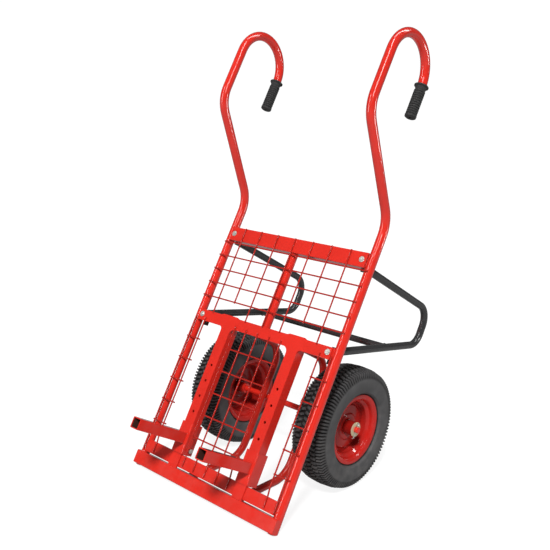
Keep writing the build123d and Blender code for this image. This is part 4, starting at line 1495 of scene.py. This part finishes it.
def studio_camera(settings):
    """Camera at the picture's angle."""
    data = bpy.data.cameras.new("studio_camera")
    data.sensor_width = 36.0
    data.lens = settings.lens
    data.clip_end = 200.0
    level = Vector((-math.sin(settings.yaw), math.cos(settings.yaw), 0))
    look = level * math.cos(settings.pitch) - UP * math.sin(settings.pitch)
    right = level.cross(UP)
    tilted = right * math.cos(settings.roll) + right.cross(look) * math.sin(settings.roll)
    axes = Matrix((tilted, tilted.cross(look), -look)).transposed()
    bpy.context.scene.camera = hang(data, settings.eye, axes)


class BARROW_OT_stage(bpy.types.Operator):
    """Make the floor, the wall, the lights and the camera"""

    bl_idname = "barrow.stage"
    bl_label = "Stage"

    def execute(self, context):
        settings = context.scene.barrow_studio
        studio_plane("studio_floor", settings.floor, floor_material())
        context.scene.world = studio_air(even=0.22, mirrored=0.08, seen=1.0)
        backdrop(settings)
        daylight("sky", (0.35, -0.56, 0.75), strength=4.2, spread=9.0)
        soft_light(*FRONT_LIGHT)
        for strip in STRIP_LIGHTS:
            strip_light(*strip)
        studio_camera(settings)
        context.scene.view_settings.view_transform = "Standard"
        return {"FINISHED"}


class BARROW_PT_tools(bpy.types.Panel):
    """Steps that dress the barrow"""

    bl_idname = "BARROW_PT_tools"
    bl_label = "Brick barrow"
    bl_space_type = "VIEW_3D"
    bl_region_type = "UI"
    bl_category = "Barrow"

    def draw(self, context):
        for step in STEPS:
            self.layout.operator(step.bl_idname)
        for group in GROUPS:
            box = self.layout.box()
            settings = getattr(context.scene, group)
            for name in settings.bl_rna.properties.keys():
                if name not in ("rna_type", "name"):
                    box.prop(settings, name)


STEPS = (
    BARROW_OT_paint,
    BARROW_OT_tyres,
    BARROW_OT_rims,
    BARROW_OT_valves,
    BARROW_OT_grips,
    BARROW_OT_leg_bolts,
    BARROW_OT_axle_ends,
    BARROW_OT_lock_screws,
    BARROW_OT_tine_linings,
    BARROW_OT_welds,
    BARROW_OT_stage,
)


def register():
    """Adds the settings, the operators and the panel."""
    for name, group in GROUPS.items():
        bpy.utils.register_class(group)
        setattr(bpy.types.Scene, name, bpy.props.PointerProperty(type=group))
    for step in STEPS:
        bpy.utils.register_class(step)
    bpy.utils.register_class(BARROW_PT_tools)


def unregister():
    """Removes what register added."""
    bpy.utils.unregister_class(BARROW_PT_tools)
    for step in reversed(STEPS):
        bpy.utils.unregister_class(step)
    for name, group in reversed(GROUPS.items()):
        delattr(bpy.types.Scene, name)
        bpy.utils.unregister_class(group)


def main():
    """Runs every step."""
    register()
    bpy.ops.barrow.paint()
    bpy.ops.barrow.tyres()
    bpy.ops.barrow.rims()
    bpy.ops.barrow.valves()
    bpy.ops.barrow.grips()
    bpy.ops.barrow.leg_bolts()
    bpy.ops.barrow.axle_ends()
    bpy.ops.barrow.lock_screws()
    bpy.ops.barrow.tine_linings()
    bpy.ops.barrow.welds()
    bpy.ops.barrow.stage()


if __name__ == "__main__":
    main()
